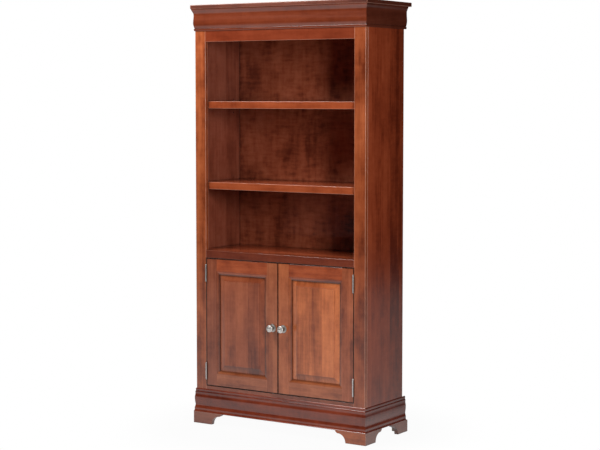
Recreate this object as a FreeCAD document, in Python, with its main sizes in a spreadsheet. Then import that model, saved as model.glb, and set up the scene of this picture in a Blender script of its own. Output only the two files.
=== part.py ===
import FreeCAD, Part
import math
import os
from types import SimpleNamespace

import Sketcher

# Bookcase with a pair of cabinet doors: an open case with adjustable shelves over a
# cupboard, a mitred crown under a cap board, and a moulded base on bracket feet.
# Millimetres. +Z is up and the doors face -Y; the origin is on the floor, at the middle
# of the space that the whole object fills.

DRIVING_SIZES = [
    # name, size, what it is
    ("overall_height", 1981, "floor to the top of the cap board"),
    ("case_width", 934, "outside of one side panel to the outside of the other"),
    ("case_depth", 338, "front of the face frame to the back edge of the sides"),
    ("side_thick", 19, "side panels"),
    ("housing_depth", 8, "depth of the grooves and rabbets in the sides"),
    ("back_thick", 6, "back panel"),
    ("board_thick", 19, "fixed boards and shelves"),
    ("frame_thick", 19, "face frame, front to back"),
    ("stile_width", 59, "face frame stile"),
    ("top_rail_height", 154, "face frame top rail, partly behind the crown"),
    ("middle_rail_height", 36, "face frame middle rail"),
    ("middle_rail_top", 829, "height of the open section's floor"),
    ("cupboard_bottom", 183.5, "height of the cupboard's floor"),
    ("tenon_thick", 6.5, "face frame tenons"),
    ("tenon_length", 25, "face frame tenons"),
    ("tenon_shoulder", 8, "rail above and below its tenon"),
    ("tenon_clear", 0.1, "air round a tenon in its mortise"),
    ("tenon_end_clear", 0.8, "air at the end of a tenon"),
    ("arris", 1.6, "rounding of the edges that are touched"),
    ("frame_vee", 1.5, "chamfer of the joint between frame and side"),
    ("cap_thick", 19, "cap board"),
    ("cap_reach", 16.5, "cap board past the case, front and sides"),
    ("cap_rear_reach", 41, "cap board past the back edge of the sides"),
    ("cap_round", 3, "rounding of the cap board's edges"),
    ("crown_height", 102, "crown moulding"),
    ("crown_lip_reach", 13.5, "crown moulding's top lip"),
    ("crown_lip_height", 4, "crown moulding's top lip"),
    ("crown_waist_reach", 6.3, "crown moulding's hollow"),
    ("crown_waist_drop", 33, "crown moulding's hollow below its top"),
    ("crown_belly_reach", 8.7, "crown moulding's belly"),
    ("crown_belly_drop", 58, "crown moulding's belly below its top"),
    ("crown_foot_reach", 2.6, "end of the crown moulding's belly"),
    ("crown_hollow_bow", 2.2, "bow of the crown's hollow"),
    ("crown_shoulder_bow", 0.9, "bow from the crown's hollow to its belly"),
    ("crown_belly_bow", 1.4, "bow of the crown's belly"),
    ("crown_bead_reach", 4.2, "edges of the bead at the crown's foot"),
    ("crown_bead_height", 12, "bead at the crown's foot"),
    ("crown_bead_bow", 1.4, "bow of the bead at the crown's foot"),
    ("crown_rear_reach", 17, "crown returns past the back edge of the sides"),
    ("foot_height", 54, "bracket feet"),
    ("foot_thick", 19, "bracket feet"),
    ("foot_reach", 10.5, "bracket feet past the case, front and sides"),
    ("foot_face_length", 105, "front brackets along the floor"),
    ("foot_side_length", 88, "side brackets along the floor"),
    ("foot_brace_length", 96, "plain rear brackets along the floor"),
    ("foot_rear_reach", 32, "rear feet past the back edge of the sides"),
    ("foot_heel_height", 6, "straight start of the bracket's cut"),
    ("foot_heel_lean", 1.5, "how far that straight start leans"),
    ("foot_cove_length", 40.5, "hollow of the bracket's cut, along the floor"),
    ("foot_cove_height", 35, "hollow of the bracket's cut"),
    ("foot_cove_bow", 10.5, "bow of that hollow"),
    ("foot_nose_length", 14.5, "round tip of the bracket"),
    ("foot_nose_bow", 2.6, "bow of that tip"),
    ("block_size", 34, "glue block in each foot"),
    ("block_lift", 4, "glue block above the floor"),
    ("base_rail_width", 60, "flat frame under the case"),
    ("base_rail_thick", 19, "flat frame under the case"),
    ("base_height", 113, "base moulding"),
    ("base_lip_reach", 3.2, "base moulding's top flat"),
    ("base_lip_height", 14, "base moulding's top flat"),
    ("base_ledge_reach", 4.7, "ledge under that flat"),
    ("base_belly_reach", 7, "base moulding's belly"),
    ("base_belly_drop", 37, "base moulding's belly below its top"),
    ("base_waist_reach", 4.3, "base moulding's hollow"),
    ("base_waist_drop", 66, "base moulding's hollow below its top"),
    ("base_band_reach", 6.7, "upper edge of the band under the hollow"),
    ("base_band_drop", 86, "upper edge of that band below the moulding's top"),
    ("base_band_foot_reach", 7.7, "lower edge of that band"),
    ("base_band_height", 12, "band under the hollow"),
    ("base_edge_height", 2, "flat at the base moulding's lower edge"),
    ("base_shoulder_bow", 0.9, "bow from the ledge to the belly"),
    ("base_belly_bow", 0.8, "bow from the belly to the hollow"),
    ("base_hollow_bow", 0.7, "bow from the hollow to the band"),
    ("base_flare_bow", 0.6, "bow of the flare above the feet"),
    ("base_rear_reach", 22, "base past the back edge of the sides"),
    ("upper_shelf_top", 1531, "height of the upper adjustable shelf"),
    ("lower_shelf_top", 1151, "height of the lower adjustable shelf"),
    ("cupboard_shelf_top", 500, "height of the shelf behind the doors"),
    ("cupboard_shelf_setback", 40, "that shelf's front edge behind the frame"),
    ("nosing_height", 33.5, "solid front edge of a shelf"),
    ("nosing_depth", 19, "solid front edge of a shelf, front to back"),
    ("shelf_clear", 1, "air round an adjustable shelf"),
    ("pin_radius", 3.1, "shelf pin"),
    ("pin_clear", 0.1, "shelf pin in its hole"),
    ("pin_inside", 9, "shelf pin inside the side panel"),
    ("pin_outside", 12, "shelf pin under the shelf"),
    ("pin_rest_gap", 0.05, "shelf above its pins"),
    ("pin_hole_depth", 10, "holes for the shelf pins"),
    ("pin_hole_step", 32, "holes for the shelf pins, one above the other"),
    ("pin_front_inset", 52, "front row of holes behind the face frame"),
    ("pin_rear_inset", 50, "rear row of holes in front of the back panel"),
    ("door_thick", 20, "door frame"),
    ("door_side_gap", 2.4, "air beside each door"),
    ("door_middle_gap", 4.2, "air between the doors"),
    ("door_end_gap", 3, "air above and below the doors"),
    ("door_stile_flat", 58, "flat of a door's frame"),
    ("sticking_width", 15, "moulded inner edge of a door's frame"),
    ("sticking_quirk", 1.2, "small step before the moulded edge"),
    ("sticking_depth", 5.6, "moulded edge's depth"),
    ("sticking_bow", 1, "bow of the moulded edge"),
    ("groove_back", 9.4, "panel groove behind the door's face"),
    ("groove_width", 6, "panel groove"),
    ("groove_depth", 10, "panel groove"),
    ("panel_side_clear", 2, "room for the panel to swell"),
    ("panel_face_clear", 0.25, "air in front of and behind the panel's tongue"),
    ("panel_field_back", 0.8, "panel's field behind the door's face"),
    ("panel_raise_width", 37, "panel's edge to its field"),
    ("panel_flat_width", 12, "panel's flat margin"),
    ("panel_step", 1.2, "small step round the field"),
    ("panel_raise_bow", 1, "bow of the panel's bevel"),
    ("knob_inset", 27.5, "knob from the edge of its door"),
    ("knob_reach", 32, "knob in front of the door"),
    ("knob_head_radius", 16.2, "knob's head"),
    ("knob_head_front", 24.5, "widest ring of the knob's head in front of the door"),
    ("knob_shoulder_radius", 15.2, "rounding of the head's edge"),
    ("knob_shoulder_front", 27.6, "rounding of the head's edge in front of the door"),
    ("knob_rim_radius", 12, "raised ring on the knob's face"),
    ("knob_rim_front", 29.6, "raised ring in front of the door"),
    ("knob_groove_radius", 10.4, "groove inside that ring"),
    ("knob_groove_front", 28.6, "groove in front of the door"),
    ("knob_dome_radius", 5.6, "flatter middle of the dome in the ring"),
    ("knob_dome_front", 31.2, "edge of that middle in front of the door"),
    ("knob_neck_radius", 5.4, "knob's neck"),
    ("knob_neck_front", 16.5, "end of the knob's neck in front of the door"),
    ("knob_base_radius", 8.5, "knob's foot"),
    ("rosette_radius", 18.5, "plate under the knob"),
    ("rosette_thick", 3.4, "plate under the knob"),
    ("rosette_flat_radius", 12.5, "flat middle of that plate"),
    ("rosette_edge_thick", 1.2, "edge of that plate"),
    ("screw_radius", 2, "screw through the door into the knob"),
    ("screw_clear", 0.1, "screw in its holes"),
    ("screw_grip", 11, "screw inside the knob"),
    ("screw_head_radius", 4.6, "screw's head"),
    ("screw_head_thick", 2.6, "screw's head"),
    ("screw_crown_radius", 2.8, "flat top of the screw's head"),
    ("hinge_length", 76, "butt hinge"),
    ("hinge_inset", 30, "hinge from the end of the door"),
    ("hinge_leaf_thick", 1.5, "hinge leaf"),
    ("hinge_leaf_width", 17, "hinge leaf, front to back"),
    ("hinge_barrel_radius", 3.6, "hinge barrel"),
    ("hinge_barrel_clear", 0.4, "barrel in front of the door's face"),
    ("hinge_pin_radius", 1.6, "hinge pin"),
    ("hinge_pin_clear", 0.05, "hinge pin in its knuckles"),
    ("hinge_knuckle_gap", 0.3, "air between two knuckles"),
    ("hinge_tip_radius", 2.9, "tip of the hinge pin"),
    ("hinge_tip_height", 3.2, "tip of the hinge pin"),
    ("hinge_tip_flat", 1.5, "radius of the flat end of that tip"),
    ("catch_width", 42, "magnetic catch"),
    ("catch_depth", 14, "magnetic catch, front to back"),
    ("catch_below", 20, "magnetic catch below the top of the doors"),
    ("catch_apart", 14, "middle of the case to a catch"),
    ("strike_thick", 1.4, "steel plate on the door"),
    ("strike_inset", 4, "catch's edge to the plate's edge"),
    ("strike_gap", 0.3, "air between plate and catch"),
]
QUARTER_BOW = 1 - 0.5**0.5  # bow of a quarter circle, as a share of its radius
KNUCKLES = 5
HOLES_PER_SHELF = {"upper": 3, "lower": 3, "cupboard": 1}

doc = FreeCAD.newDocument("bookcase")
sheet = doc.addObject("Spreadsheet::Sheet", "Sizes")
sheet.Label = "Sizes"
for row, (name, value, meaning) in enumerate(DRIVING_SIZES, start=1):
    sheet.set(f"A{row}", meaning)
    sheet.set(f"B{row}", str(value))
    sheet.setAlias(f"B{row}", name)
doc.recompute()


class Size:
    """A length in millimetres, with the expression that ties it to the spreadsheet."""

    def __init__(self, value, text):
        self.value = value
        self.text = text

    def __add__(self, other):
        return join(self, "+", other, self.value + number(other))

    def __sub__(self, other):
        return join(self, "-", other, self.value - number(other))

    def __mul__(self, other):
        return join(self, "*", other, self.value * number(other))

    def __truediv__(self, other):
        return join(self, "/", other, self.value / number(other))

    def __neg__(self):
        return Size(-self.value, f"(0 - {self.text})")

    def or_more(self, other):
        """The larger of two sizes."""
        return Size(max(self.value, other.value), f"max({self.text}; {other.text})")


def number(length):
    return length.value if isinstance(length, Size) else length


def text(length):
    return length.text if isinstance(length, Size) else f"({length})"


def join(first, sign, second, value):
    return Size(value, f"({text(first)} {sign} {text(second)})")


ZERO = Size(0, "0")
size = SimpleNamespace(
    **{name: Size(sheet.get(name), f"Sizes.{name}") for name, _, _ in DRIVING_SIZES}
)

# ---- places that several pieces share -------------------------------------------------
half_width = size.case_width / 2
front = (size.knob_reach - size.case_depth - size.cap_rear_reach) / 2
case_bottom = size.foot_height + size.base_rail_thick
case_top = size.overall_height - size.cap_thick
opening_side = half_width - size.stile_width
opening_top = case_top - size.top_rail_height
inner_side = half_width - size.side_thick
housed_side = inner_side + size.housing_depth
back_front = size.case_depth - size.back_thick
middle_rail_bottom = size.middle_rail_top - size.middle_rail_height
rail_heights = {
    "top": (opening_top, case_top),
    "middle": (middle_rail_bottom, size.middle_rail_top),
    "bottom": (case_bottom, size.cupboard_bottom),
}
tenon_front = (size.frame_thick - size.tenon_thick) / 2
tenon_back = (size.frame_thick + size.tenon_thick) / 2
mortise_shoulder = size.tenon_shoulder - size.tenon_clear
base_rear = size.case_depth + size.base_rear_reach
foot_rear = size.case_depth + size.foot_rear_reach
foot_outer = half_width + size.foot_reach
foot_inner = foot_outer - size.foot_thick
foot_back_face = size.foot_thick - size.foot_reach
base_top = size.foot_height + size.base_height
base_band_top = base_top - size.base_band_drop
crown_bottom = case_top - size.crown_height
shelf_front = size.frame_thick + size.shelf_clear
shelf_rear = back_front - size.shelf_clear
shelf_side = inner_side - size.shelf_clear
pin_front_row = size.frame_thick + size.pin_front_inset
pin_rear_row = back_front - size.pin_rear_inset
door_left = size.door_middle_gap / 2
door_right = opening_side - size.door_side_gap
door_bottom = size.cupboard_bottom + size.door_end_gap
door_top = middle_rail_bottom - size.door_end_gap
door_frame_width = size.door_stile_flat + size.sticking_width
knob_side = door_left + size.knob_inset
knob_height = (door_bottom + door_top) / 2
hinge_side = opening_side - size.door_side_gap / 2
hinge_forward = -(size.hinge_barrel_radius + size.hinge_barrel_clear)
hinge_starts = {
    "lower": door_bottom + size.hinge_inset,
    "upper": door_top - size.hinge_inset - size.hinge_length,
}
shelf_tops = {
    "upper": size.upper_shelf_top,
    "lower": size.lower_shelf_top,
    "cupboard": size.cupboard_shelf_top,
}

pieces = []
cuts = []


# ---- ways of making a piece -----------------------------------------------------------
def new_body(name):
    """An empty body whose Y is measured from the front of the face frame."""
    body = doc.addObject("PartDesign::Body", name)
    body.Label = name
    body.setExpression("Placement.Base.y", front.text)
    return body


def new_piece(name):
    body = new_body(name)
    pieces.append(body)
    return body


def origin_plane(body, plane):
    role = f"{plane}_Plane"
    return next(item for item in body.Origin.OriginFeatures if item.Role == role)


def blank_sketch(body, plane, level):
    """An empty sketch on one of the body's planes, moved along that plane's axis."""
    sketch = body.newObject("Sketcher::SketchObject", f"{body.Name}_sketch")
    sketch.AttachmentSupport = [(origin_plane(body, plane), "")]
    sketch.MapMode = "FlatFace"
    offset = -level if plane == "XZ" else level
    sketch.setExpression("AttachmentOffset.Base.z", text(offset))
    return sketch


def pin_point(sketch, geometry, place, across, up):
    """Ties one point of the sketch to its two sizes."""
    for kind, length in (("DistanceX", across), ("DistanceY", up)):
        constraint = Sketcher.Constraint(kind, -1, 1, geometry, place, number(length))
        index = sketch.addConstraint(constraint)
        if isinstance(length, Size):
            sketch.setExpression(f"Constraints[{index}]", length.text)


def bowed_side(start, finish, bow):
    """The arc between two points that bows to the left of the way from one to the other.
    A sketch draws arcs anticlockwise, so this one begins at finish where bow is positive."""
    along = finish - start
    left = FreeCAD.Vector(-along.y, along.x, 0)
    left.normalize()
    radius = (along.Length**2 + 4 * bow**2) / (8 * bow)
    centre = (start + finish) * 0.5 + left * (bow - radius)
    ends = [math.atan2(p.y - centre.y, p.x - centre.x) for p in (start, finish)]
    if bow > 0:
        ends.reverse()
    circle = Part.Circle(centre, FreeCAD.Vector(0, 0, 1), abs(radius))
    return Part.ArcOfCircle(circle, *ends)


def draw(body, plane, outline, level):
    """A closed sketch. A point's third value, where it has one, bows its next side."""
    sketch = blank_sketch(body, plane, level)
    corners = [FreeCAD.Vector(number(p[0]), number(p[1]), 0) for p in outline]
    count = len(outline)
    begins, ends = [], []
    for index, point in enumerate(outline):
        start, finish = corners[index], corners[(index + 1) % count]
        turned = len(point) == 3 and number(point[2]) > 0
        begins.append(2 if turned else 1)
        ends.append(1 if turned else 2)
        if len(point) == 3:
            sketch.addGeometry(bowed_side(start, finish, number(point[2])), False)
        else:
            sketch.addGeometry(Part.LineSegment(start, finish), False)
    for index, point in enumerate(outline):
        after = (index + 1) % count
        sketch.addConstraint(
            Sketcher.Constraint("Coincident", index, ends[index], after, begins[after])
        )
        pin_point(sketch, index, begins[index], point[0], point[1])
        if len(point) == 3:
            fix_bow(sketch, index, point, outline[after])
    return sketch


def fix_bow(sketch, index, point, after):
    """Ties an arc's radius to its chord and its bow."""
    across, up, bow = after[0] - point[0], after[1] - point[1], point[2]
    radius = (across * across + up * up + bow * bow * 4) / (bow * 8)
    if radius.value < 0:
        radius = -radius
    constraint = sketch.addConstraint(Sketcher.Constraint("Radius", index, radius.value))
    sketch.setExpression(f"Constraints[{constraint}]", radius.text)


def draw_circle(body, plane, centre, radius, level):
    sketch = blank_sketch(body, plane, level)
    add_circle(sketch, centre, radius)
    return sketch


def add_circle(sketch, centre, radius):
    middle = FreeCAD.Vector(number(centre[0]), number(centre[1]), 0)
    normal = FreeCAD.Vector(0, 0, 1)
    circle = sketch.addGeometry(Part.Circle(middle, normal, radius.value), False)
    pin_point(sketch, circle, 3, centre[0], centre[1])
    index = sketch.addConstraint(Sketcher.Constraint("Radius", circle, radius.value))
    sketch.setExpression(f"Constraints[{index}]", radius.text)


def pad(body, sketch, length):
    """Adds material from the sketch towards +X, +Y or +Z."""
    feature = body.newObject("PartDesign::Pad", f"{body.Name}_pad")
    feature.Profile = sketch
    feature.Reversed = faces_forward(sketch)
    feature.setExpression("Length", length.text)
    return feature


def pocket(body, sketch, length):
    """Takes material away from the sketch towards +X, +Y or +Z."""
    feature = body.newObject("PartDesign::Pocket", f"{body.Name}_pocket")
    feature.Profile = sketch
    feature.Reversed = not faces_forward(sketch)
    feature.setExpression("Length", length.text)
    cuts.append(feature)
    return feature


def faces_forward(sketch):
    return sketch.AttachmentSupport[0][0].Role == "XZ_Plane"


def revolve(body, outline):
    """Turns an outline of (Y, radius) points about the body's own Y axis."""
    sketch = draw(body, "YZ", outline, ZERO)
    feature = body.newObject("PartDesign::Revolution", f"{body.Name}_turning")
    feature.Profile = sketch
    feature.ReferenceAxis = (sketch, ["H_Axis"])
    feature.Angle = 360
    return feature


AXES = {"X": ("YZ", 0, 1, 2), "Y": ("XZ", 1, 0, 2), "Z": ("XY", 2, 0, 1)}


def block_sketch(body, low, high, grain):
    plane, along, across, up = AXES[grain]
    outline = [
        (low[across], low[up]),
        (high[across], low[up]),
        (high[across], high[up]),
        (low[across], high[up]),
    ]
    return draw(body, plane, outline, low[along]), high[along] - low[along]


def board(name, low, high, grain):
    """A squared board between two corners, drawn across its grain and run along it."""
    body = new_piece(name)
    add_block(body, low, high, grain)
    return body


def add_block(body, low, high, grain):
    return pad(body, *block_sketch(body, low, high, grain))


def cut_block(body, low, high, grain):
    return pocket(body, *block_sketch(body, low, high, grain))


def ease(body, grain, corner, inward, start, finish, radius=size.arris):
    """Rounds a straight edge. inward holds the two signs that lead from the corner into
    the wood, across the grain."""
    across, up = corner
    right, over = inward
    turn = right * over
    outline = [
        (across, up),
        (across + radius * right, up, radius * (QUARTER_BOW * turn)),
        (across, up + radius * over),
    ]
    return pocket(body, draw(body, AXES[grain][0], outline, start), finish - start)


def bevel(body, grain, corner, inward, start, finish, width):
    """Takes a flat 45 degree bevel off a straight edge."""
    across, up = corner
    right, over = inward
    outline = [(across, up), (across + width * right, up), (across, up + width * over)]
    return pocket(body, draw(body, AXES[grain][0], outline, start), finish - start)


def mirror(name, source):
    """The left-hand twin of a right-hand piece."""
    twin = doc.addObject("Part::Mirroring", name)
    twin.Label = name
    twin.Source = source
    twin.Normal = FreeCAD.Vector(1, 0, 0)
    return twin


def mirror_piece(name, source):
    twin = mirror(name, source)
    pieces.append(twin)
    return twin


def group(name, members):
    """Identical small pieces that share one name, each a solid of its own."""
    bundle = doc.addObject("Part::Compound", name)
    bundle.Label = name
    bundle.Links = members
    pieces.append(bundle)
    return bundle


# ---- the case -------------------------------------------------------------------------
def make_side():
    side = board(
        "side_right",
        (inner_side, size.frame_thick, case_bottom),
        (half_width, size.case_depth, case_top),
        "Z",
    )
    bevel(
        side,
        "Z",
        (half_width, size.frame_thick),
        (-1, 1),
        case_bottom,
        case_top,
        size.frame_vee,
    )
    cut_block(
        side,
        (inner_side, back_front, case_bottom),
        (housed_side, size.case_depth, case_top),
        "Z",
    )
    for top in (case_top, size.middle_rail_top, size.cupboard_bottom):
        cut_block(
            side,
            (inner_side, size.frame_thick, top - size.board_thick),
            (housed_side, back_front, top),
            "X",
        )
    for name, top in shelf_tops.items():
        drill_shelf_holes(side, top, HOLES_PER_SHELF[name])
    return side


def pin_level(shelf_top):
    """Height of the pins that carry a shelf."""
    return shelf_top - size.board_thick - size.pin_rest_gap - size.pin_radius


def drill_shelf_holes(side, shelf_top, count):
    """A front and a rear row of holes, with the shelf's own holes in the middle."""
    lowest = pin_level(shelf_top) - size.pin_hole_step * (count // 2)
    radius = size.pin_radius + size.pin_clear
    sketch = draw_circle(side, "YZ", (pin_front_row, lowest), radius, inner_side)
    add_circle(sketch, (pin_rear_row, lowest), radius)
    holes = pocket(side, sketch, size.pin_hole_depth)
    if count == 1:
        return
    rows = side.newObject("PartDesign::LinearPattern", "side_right_rows")
    rows.Originals = [holes]
    rows.Direction = (sketch, ["V_Axis"])
    rows.Occurrences = count
    rows.setExpression("Length", (size.pin_hole_step * (count - 1)).text)
    side.Tip = rows


def make_stile():
    stile = board(
        "stile_right",
        (opening_side, ZERO, case_bottom),
        (half_width, size.frame_thick, case_top),
        "Z",
    )
    ease(stile, "Z", (half_width, ZERO), (-1, 1), case_bottom, case_top)
    bevel(
        stile,
        "Z",
        (half_width, size.frame_thick),
        (-1, -1),
        case_bottom,
        case_top,
        size.frame_vee,
    )
    corner = (opening_side, ZERO)
    ease(stile, "Z", corner, (1, 1), size.middle_rail_top, opening_top)
    ease(stile, "Z", corner, (1, 1), size.cupboard_bottom, middle_rail_bottom)
    for bottom, top in rail_heights.values():
        cut_block(
            stile,
            (opening_side, tenon_front - size.tenon_clear, bottom + mortise_shoulder),
            (
                opening_side + size.tenon_length + size.tenon_end_clear,
                tenon_back + size.tenon_clear,
                top - mortise_shoulder,
            ),
            "X",
        )
    for start in hinge_starts.values():
        cut_block(
            stile,
            (opening_side, ZERO, start),
            (
                opening_side + size.hinge_leaf_thick,
                size.hinge_leaf_width,
                start + size.hinge_length,
            ),
            "Z",
        )
    return stile


def make_rail(name):
    bottom, top = rail_heights[name]
    rail = board(
        f"{name}_rail",
        (-opening_side, ZERO, bottom),
        (opening_side, size.frame_thick, top),
        "X",
    )
    add_block(
        rail,
        (-opening_side - size.tenon_length, tenon_front, bottom + size.tenon_shoulder),
        (opening_side + size.tenon_length, tenon_back, top - size.tenon_shoulder),
        "X",
    )
    if name != "bottom":
        ease(rail, "X", (ZERO, bottom), (1, 1), -opening_side, opening_side)
    if name != "top":
        ease(rail, "X", (ZERO, top), (1, -1), -opening_side, opening_side)
    return rail


def make_fixed_board(name, top):
    """A board glued into the grooves of both sides."""
    return board(
        name,
        (-housed_side, size.frame_thick, top - size.board_thick),
        (housed_side, back_front, top),
        "X",
    )


def make_back():
    inset = size.panel_face_clear
    return board(
        "back_panel",
        (-housed_side + inset, back_front, case_bottom),
        (housed_side - inset, size.case_depth, case_top),
        "Z",
    )


def make_shelf(name, top):
    """An adjustable shelf board and its deeper solid front edge."""
    edge_back = shelf_front + size.nosing_depth
    board(
        f"{name}_shelf",
        (-shelf_side, edge_back, top - size.board_thick),
        (shelf_side, shelf_rear, top),
        "X",
    )
    bottom = top - size.nosing_height
    nosing = board(
        f"{name}_shelf_nosing",
        (-shelf_side, shelf_front, bottom),
        (shelf_side, edge_back, top),
        "X",
    )
    ease(nosing, "X", (shelf_front, top), (1, -1), -shelf_side, shelf_side)
    ease(nosing, "X", (shelf_front, bottom), (1, 1), -shelf_side, shelf_side)


def make_cupboard_shelf(top):
    """The shelf behind the doors: a plain board, set back to clear the catches."""
    edge = shelf_front + size.cupboard_shelf_setback
    bottom = top - size.board_thick
    shelf = board("cupboard_shelf", (-shelf_side, edge, bottom), (shelf_side, shelf_rear, top), "X")
    ease(shelf, "X", (edge, top), (1, -1), -shelf_side, shelf_side)
    ease(shelf, "X", (edge, bottom), (1, 1), -shelf_side, shelf_side)


def shelf_pin(depth, height):
    """A plain steel pin, from under the shelf into the right-hand side."""
    pin = new_body("shelf_pin")
    end = draw_circle(pin, "YZ", (ZERO, ZERO), size.pin_radius, inner_side - size.pin_outside)
    pad(pin, end, size.pin_outside + size.pin_inside)
    pin.setExpression("Placement.Base.y", (front + depth).text)
    pin.setExpression("Placement.Base.z", height.text)
    return pin


def make_shelf_pins():
    pins = [
        shelf_pin(depth, pin_level(top))
        for top in shelf_tops.values()
        for depth in (pin_front_row, pin_rear_row)
    ]
    group("shelf_pins", pins + [mirror(f"{pin.Name}_twin", pin) for pin in pins])


# ---- mouldings ------------------------------------------------------------------------
# A moulding's profile is a list of points: how far it stands off the case, and its height.
crown_profile = [
    (ZERO, case_top),
    (size.crown_lip_reach, case_top),
    (size.crown_lip_reach, case_top - size.crown_lip_height, -size.crown_hollow_bow),
    (size.crown_waist_reach, case_top - size.crown_waist_drop, size.crown_shoulder_bow),
    (size.crown_belly_reach, case_top - size.crown_belly_drop, size.crown_belly_bow),
    (size.crown_foot_reach, crown_bottom + size.crown_bead_height),
    (size.crown_bead_reach, crown_bottom + size.crown_bead_height, size.crown_bead_bow),
    (size.crown_bead_reach, crown_bottom),
    (ZERO, crown_bottom),
]
base_profile = [
    (ZERO, base_top),
    (size.base_lip_reach, base_top),
    (size.base_lip_reach, base_top - size.base_lip_height),
    (size.base_ledge_reach, base_top - size.base_lip_height, size.base_shoulder_bow),
    (size.base_belly_reach, base_top - size.base_belly_drop, size.base_belly_bow),
    (size.base_waist_reach, base_top - size.base_waist_drop, -size.base_hollow_bow),
    (size.base_band_reach, base_band_top),
    (size.base_band_foot_reach, base_band_top - size.base_band_height, -size.base_flare_bow),
    (size.foot_reach, size.foot_height + size.base_edge_height),
    (size.foot_reach, size.foot_height),
    (ZERO, size.foot_height),
]


def profile_in_front(profile):
    """The profile standing off the face frame, towards -Y."""
    return [(-p[0], p[1]) + tuple(-bow for bow in p[2:]) for p in profile]


def profile_beside(profile):
    """The profile standing off the right-hand side, towards +X."""
    return [(half_width + p[0], p[1]) + tuple(p[2:]) for p in profile]


def cut_mitre(body, corner, low, high):
    """Takes a corner block off a moulding's end, so that two meet at 45 degrees."""
    pocket(body, draw(body, "XY", corner, low), high - low)


def make_moulding(name, profile, reach, rear_reach):
    """The front length and its two returns, mitred at the case's front corners."""
    bottom, top = profile[-1][1], profile[0][1]
    tip = (half_width + reach, -reach)
    length = new_piece(f"{name}_front")
    pad(
        length,
        draw(length, "YZ", profile_in_front(profile), -half_width - reach),
        (half_width + reach) * 2,
    )
    cut_mitre(length, [(half_width, ZERO), tip, (tip[0], ZERO)], bottom, top)
    left_corner = [(-half_width, ZERO), (-tip[0], tip[1]), (-tip[0], ZERO)]
    cut_mitre(length, left_corner, bottom, top)
    back = size.case_depth + rear_reach
    right = new_piece(f"{name}_right")
    pad(right, draw(right, "XZ", profile_beside(profile), -reach), back + reach)
    cut_mitre(right, [(half_width, ZERO), tip, (half_width, tip[1])], bottom, top)
    mirror_piece(f"{name}_left", right)


def make_cap():
    side = half_width + size.cap_reach
    back = size.case_depth + size.cap_rear_reach
    cap = board(
        "cap_board",
        (-side, -size.cap_reach, case_top),
        (side, back, size.overall_height),
        "X",
    )
    radius = size.cap_round
    for height, into in ((case_top, 1), (size.overall_height, -1)):
        ease(cap, "X", (-size.cap_reach, height), (1, into), -side, side, radius)
        ease(cap, "Y", (side, height), (-1, into), -size.cap_reach, back, radius)
        ease(cap, "Y", (-side, height), (1, into), -size.cap_reach, back, radius)


# ---- base frame and bracket feet ------------------------------------------------------
def make_base_frame():
    board(
        "base_frame_front",
        (-half_width, ZERO, size.foot_height),
        (half_width, size.base_rail_width, case_bottom),
        "X",
    )
    board(
        "base_frame_back",
        (-half_width, base_rear - size.base_rail_width, size.foot_height),
        (half_width, base_rear, case_bottom),
        "X",
    )
    rail = board(
        "base_frame_right",
        (half_width - size.base_rail_width, size.base_rail_width, size.foot_height),
        (half_width, base_rear - size.base_rail_width, case_bottom),
        "Y",
    )
    mirror_piece("base_frame_left", rail)


def bracket_outline(heel, direction, floor_length):
    """A bracket foot seen square on. heel is its outer end and direction the sign that
    leads along the floor from there; the cut is a hollow that ends in a round nose."""

    def along(length):
        return heel + length * direction

    heel_top = floor_length + size.foot_heel_lean
    cove_top = heel_top + size.foot_cove_length
    return [
        (heel, ZERO),
        (along(floor_length), ZERO),
        (along(heel_top), size.foot_heel_height, size.foot_cove_bow * direction),
        (
            along(cove_top),
            size.foot_heel_height + size.foot_cove_height,
            -size.foot_nose_bow * direction,
        ),
        (along(cove_top + size.foot_nose_length), size.foot_height),
        (heel, size.foot_height),
    ]


def make_front_foot():
    """Two shaped brackets, mitred where they meet at the case's front corner."""
    tip = (foot_outer, -size.foot_reach)
    inner = (foot_inner, foot_back_face)
    face = new_piece("foot_front_right_face")
    outline = bracket_outline(foot_outer, -1, size.foot_face_length)
    pad(face, draw(face, "XZ", outline, -size.foot_reach), size.foot_thick)
    cut_mitre(face, [tip, inner, (foot_outer, foot_back_face)], ZERO, size.foot_height)
    side = new_piece("foot_front_right_side")
    outline = bracket_outline(-size.foot_reach, 1, size.foot_side_length)
    pad(side, draw(side, "YZ", outline, foot_inner), size.foot_thick)
    cut_mitre(side, [tip, inner, (foot_inner, -size.foot_reach)], ZERO, size.foot_height)
    mirror_piece("foot_front_left_face", face)
    mirror_piece("foot_front_left_side", side)


def make_rear_foot():
    """A shaped side bracket with a plain brace butted behind it."""
    side = new_piece("foot_rear_right_side")
    outline = bracket_outline(foot_rear, -1, size.foot_side_length)
    pad(side, draw(side, "YZ", outline, foot_inner), size.foot_thick)
    brace = new_piece("foot_rear_right_brace")
    inner_end = foot_inner - size.foot_brace_length
    outline = [
        (foot_inner, ZERO),
        (inner_end + size.foot_height, ZERO),
        (inner_end, size.foot_height - size.foot_heel_height),
        (inner_end, size.foot_height),
        (foot_inner, size.foot_height),
    ]
    pad(brace, draw(brace, "XZ", outline, foot_rear - size.foot_thick), size.foot_thick)
    mirror_piece("foot_rear_left_side", side)
    mirror_piece("foot_rear_left_brace", brace)


def glue_block(front_face):
    """A block in the corner of a foot, with its inner corner planed off."""
    block = new_body("glue_block")
    near = foot_inner - size.block_size
    low = (near, front_face, size.block_lift)
    high = (foot_inner, front_face + size.block_size, size.foot_height)
    add_block(block, low, high, "Z")
    return block


def make_glue_blocks():
    rear_face = foot_rear - size.foot_thick - size.block_size
    blocks = [glue_block(foot_back_face), glue_block(rear_face)]
    twins = [mirror(f"{block.Name}_twin", block) for block in blocks]
    group("foot_glue_blocks", blocks + twins)


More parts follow.
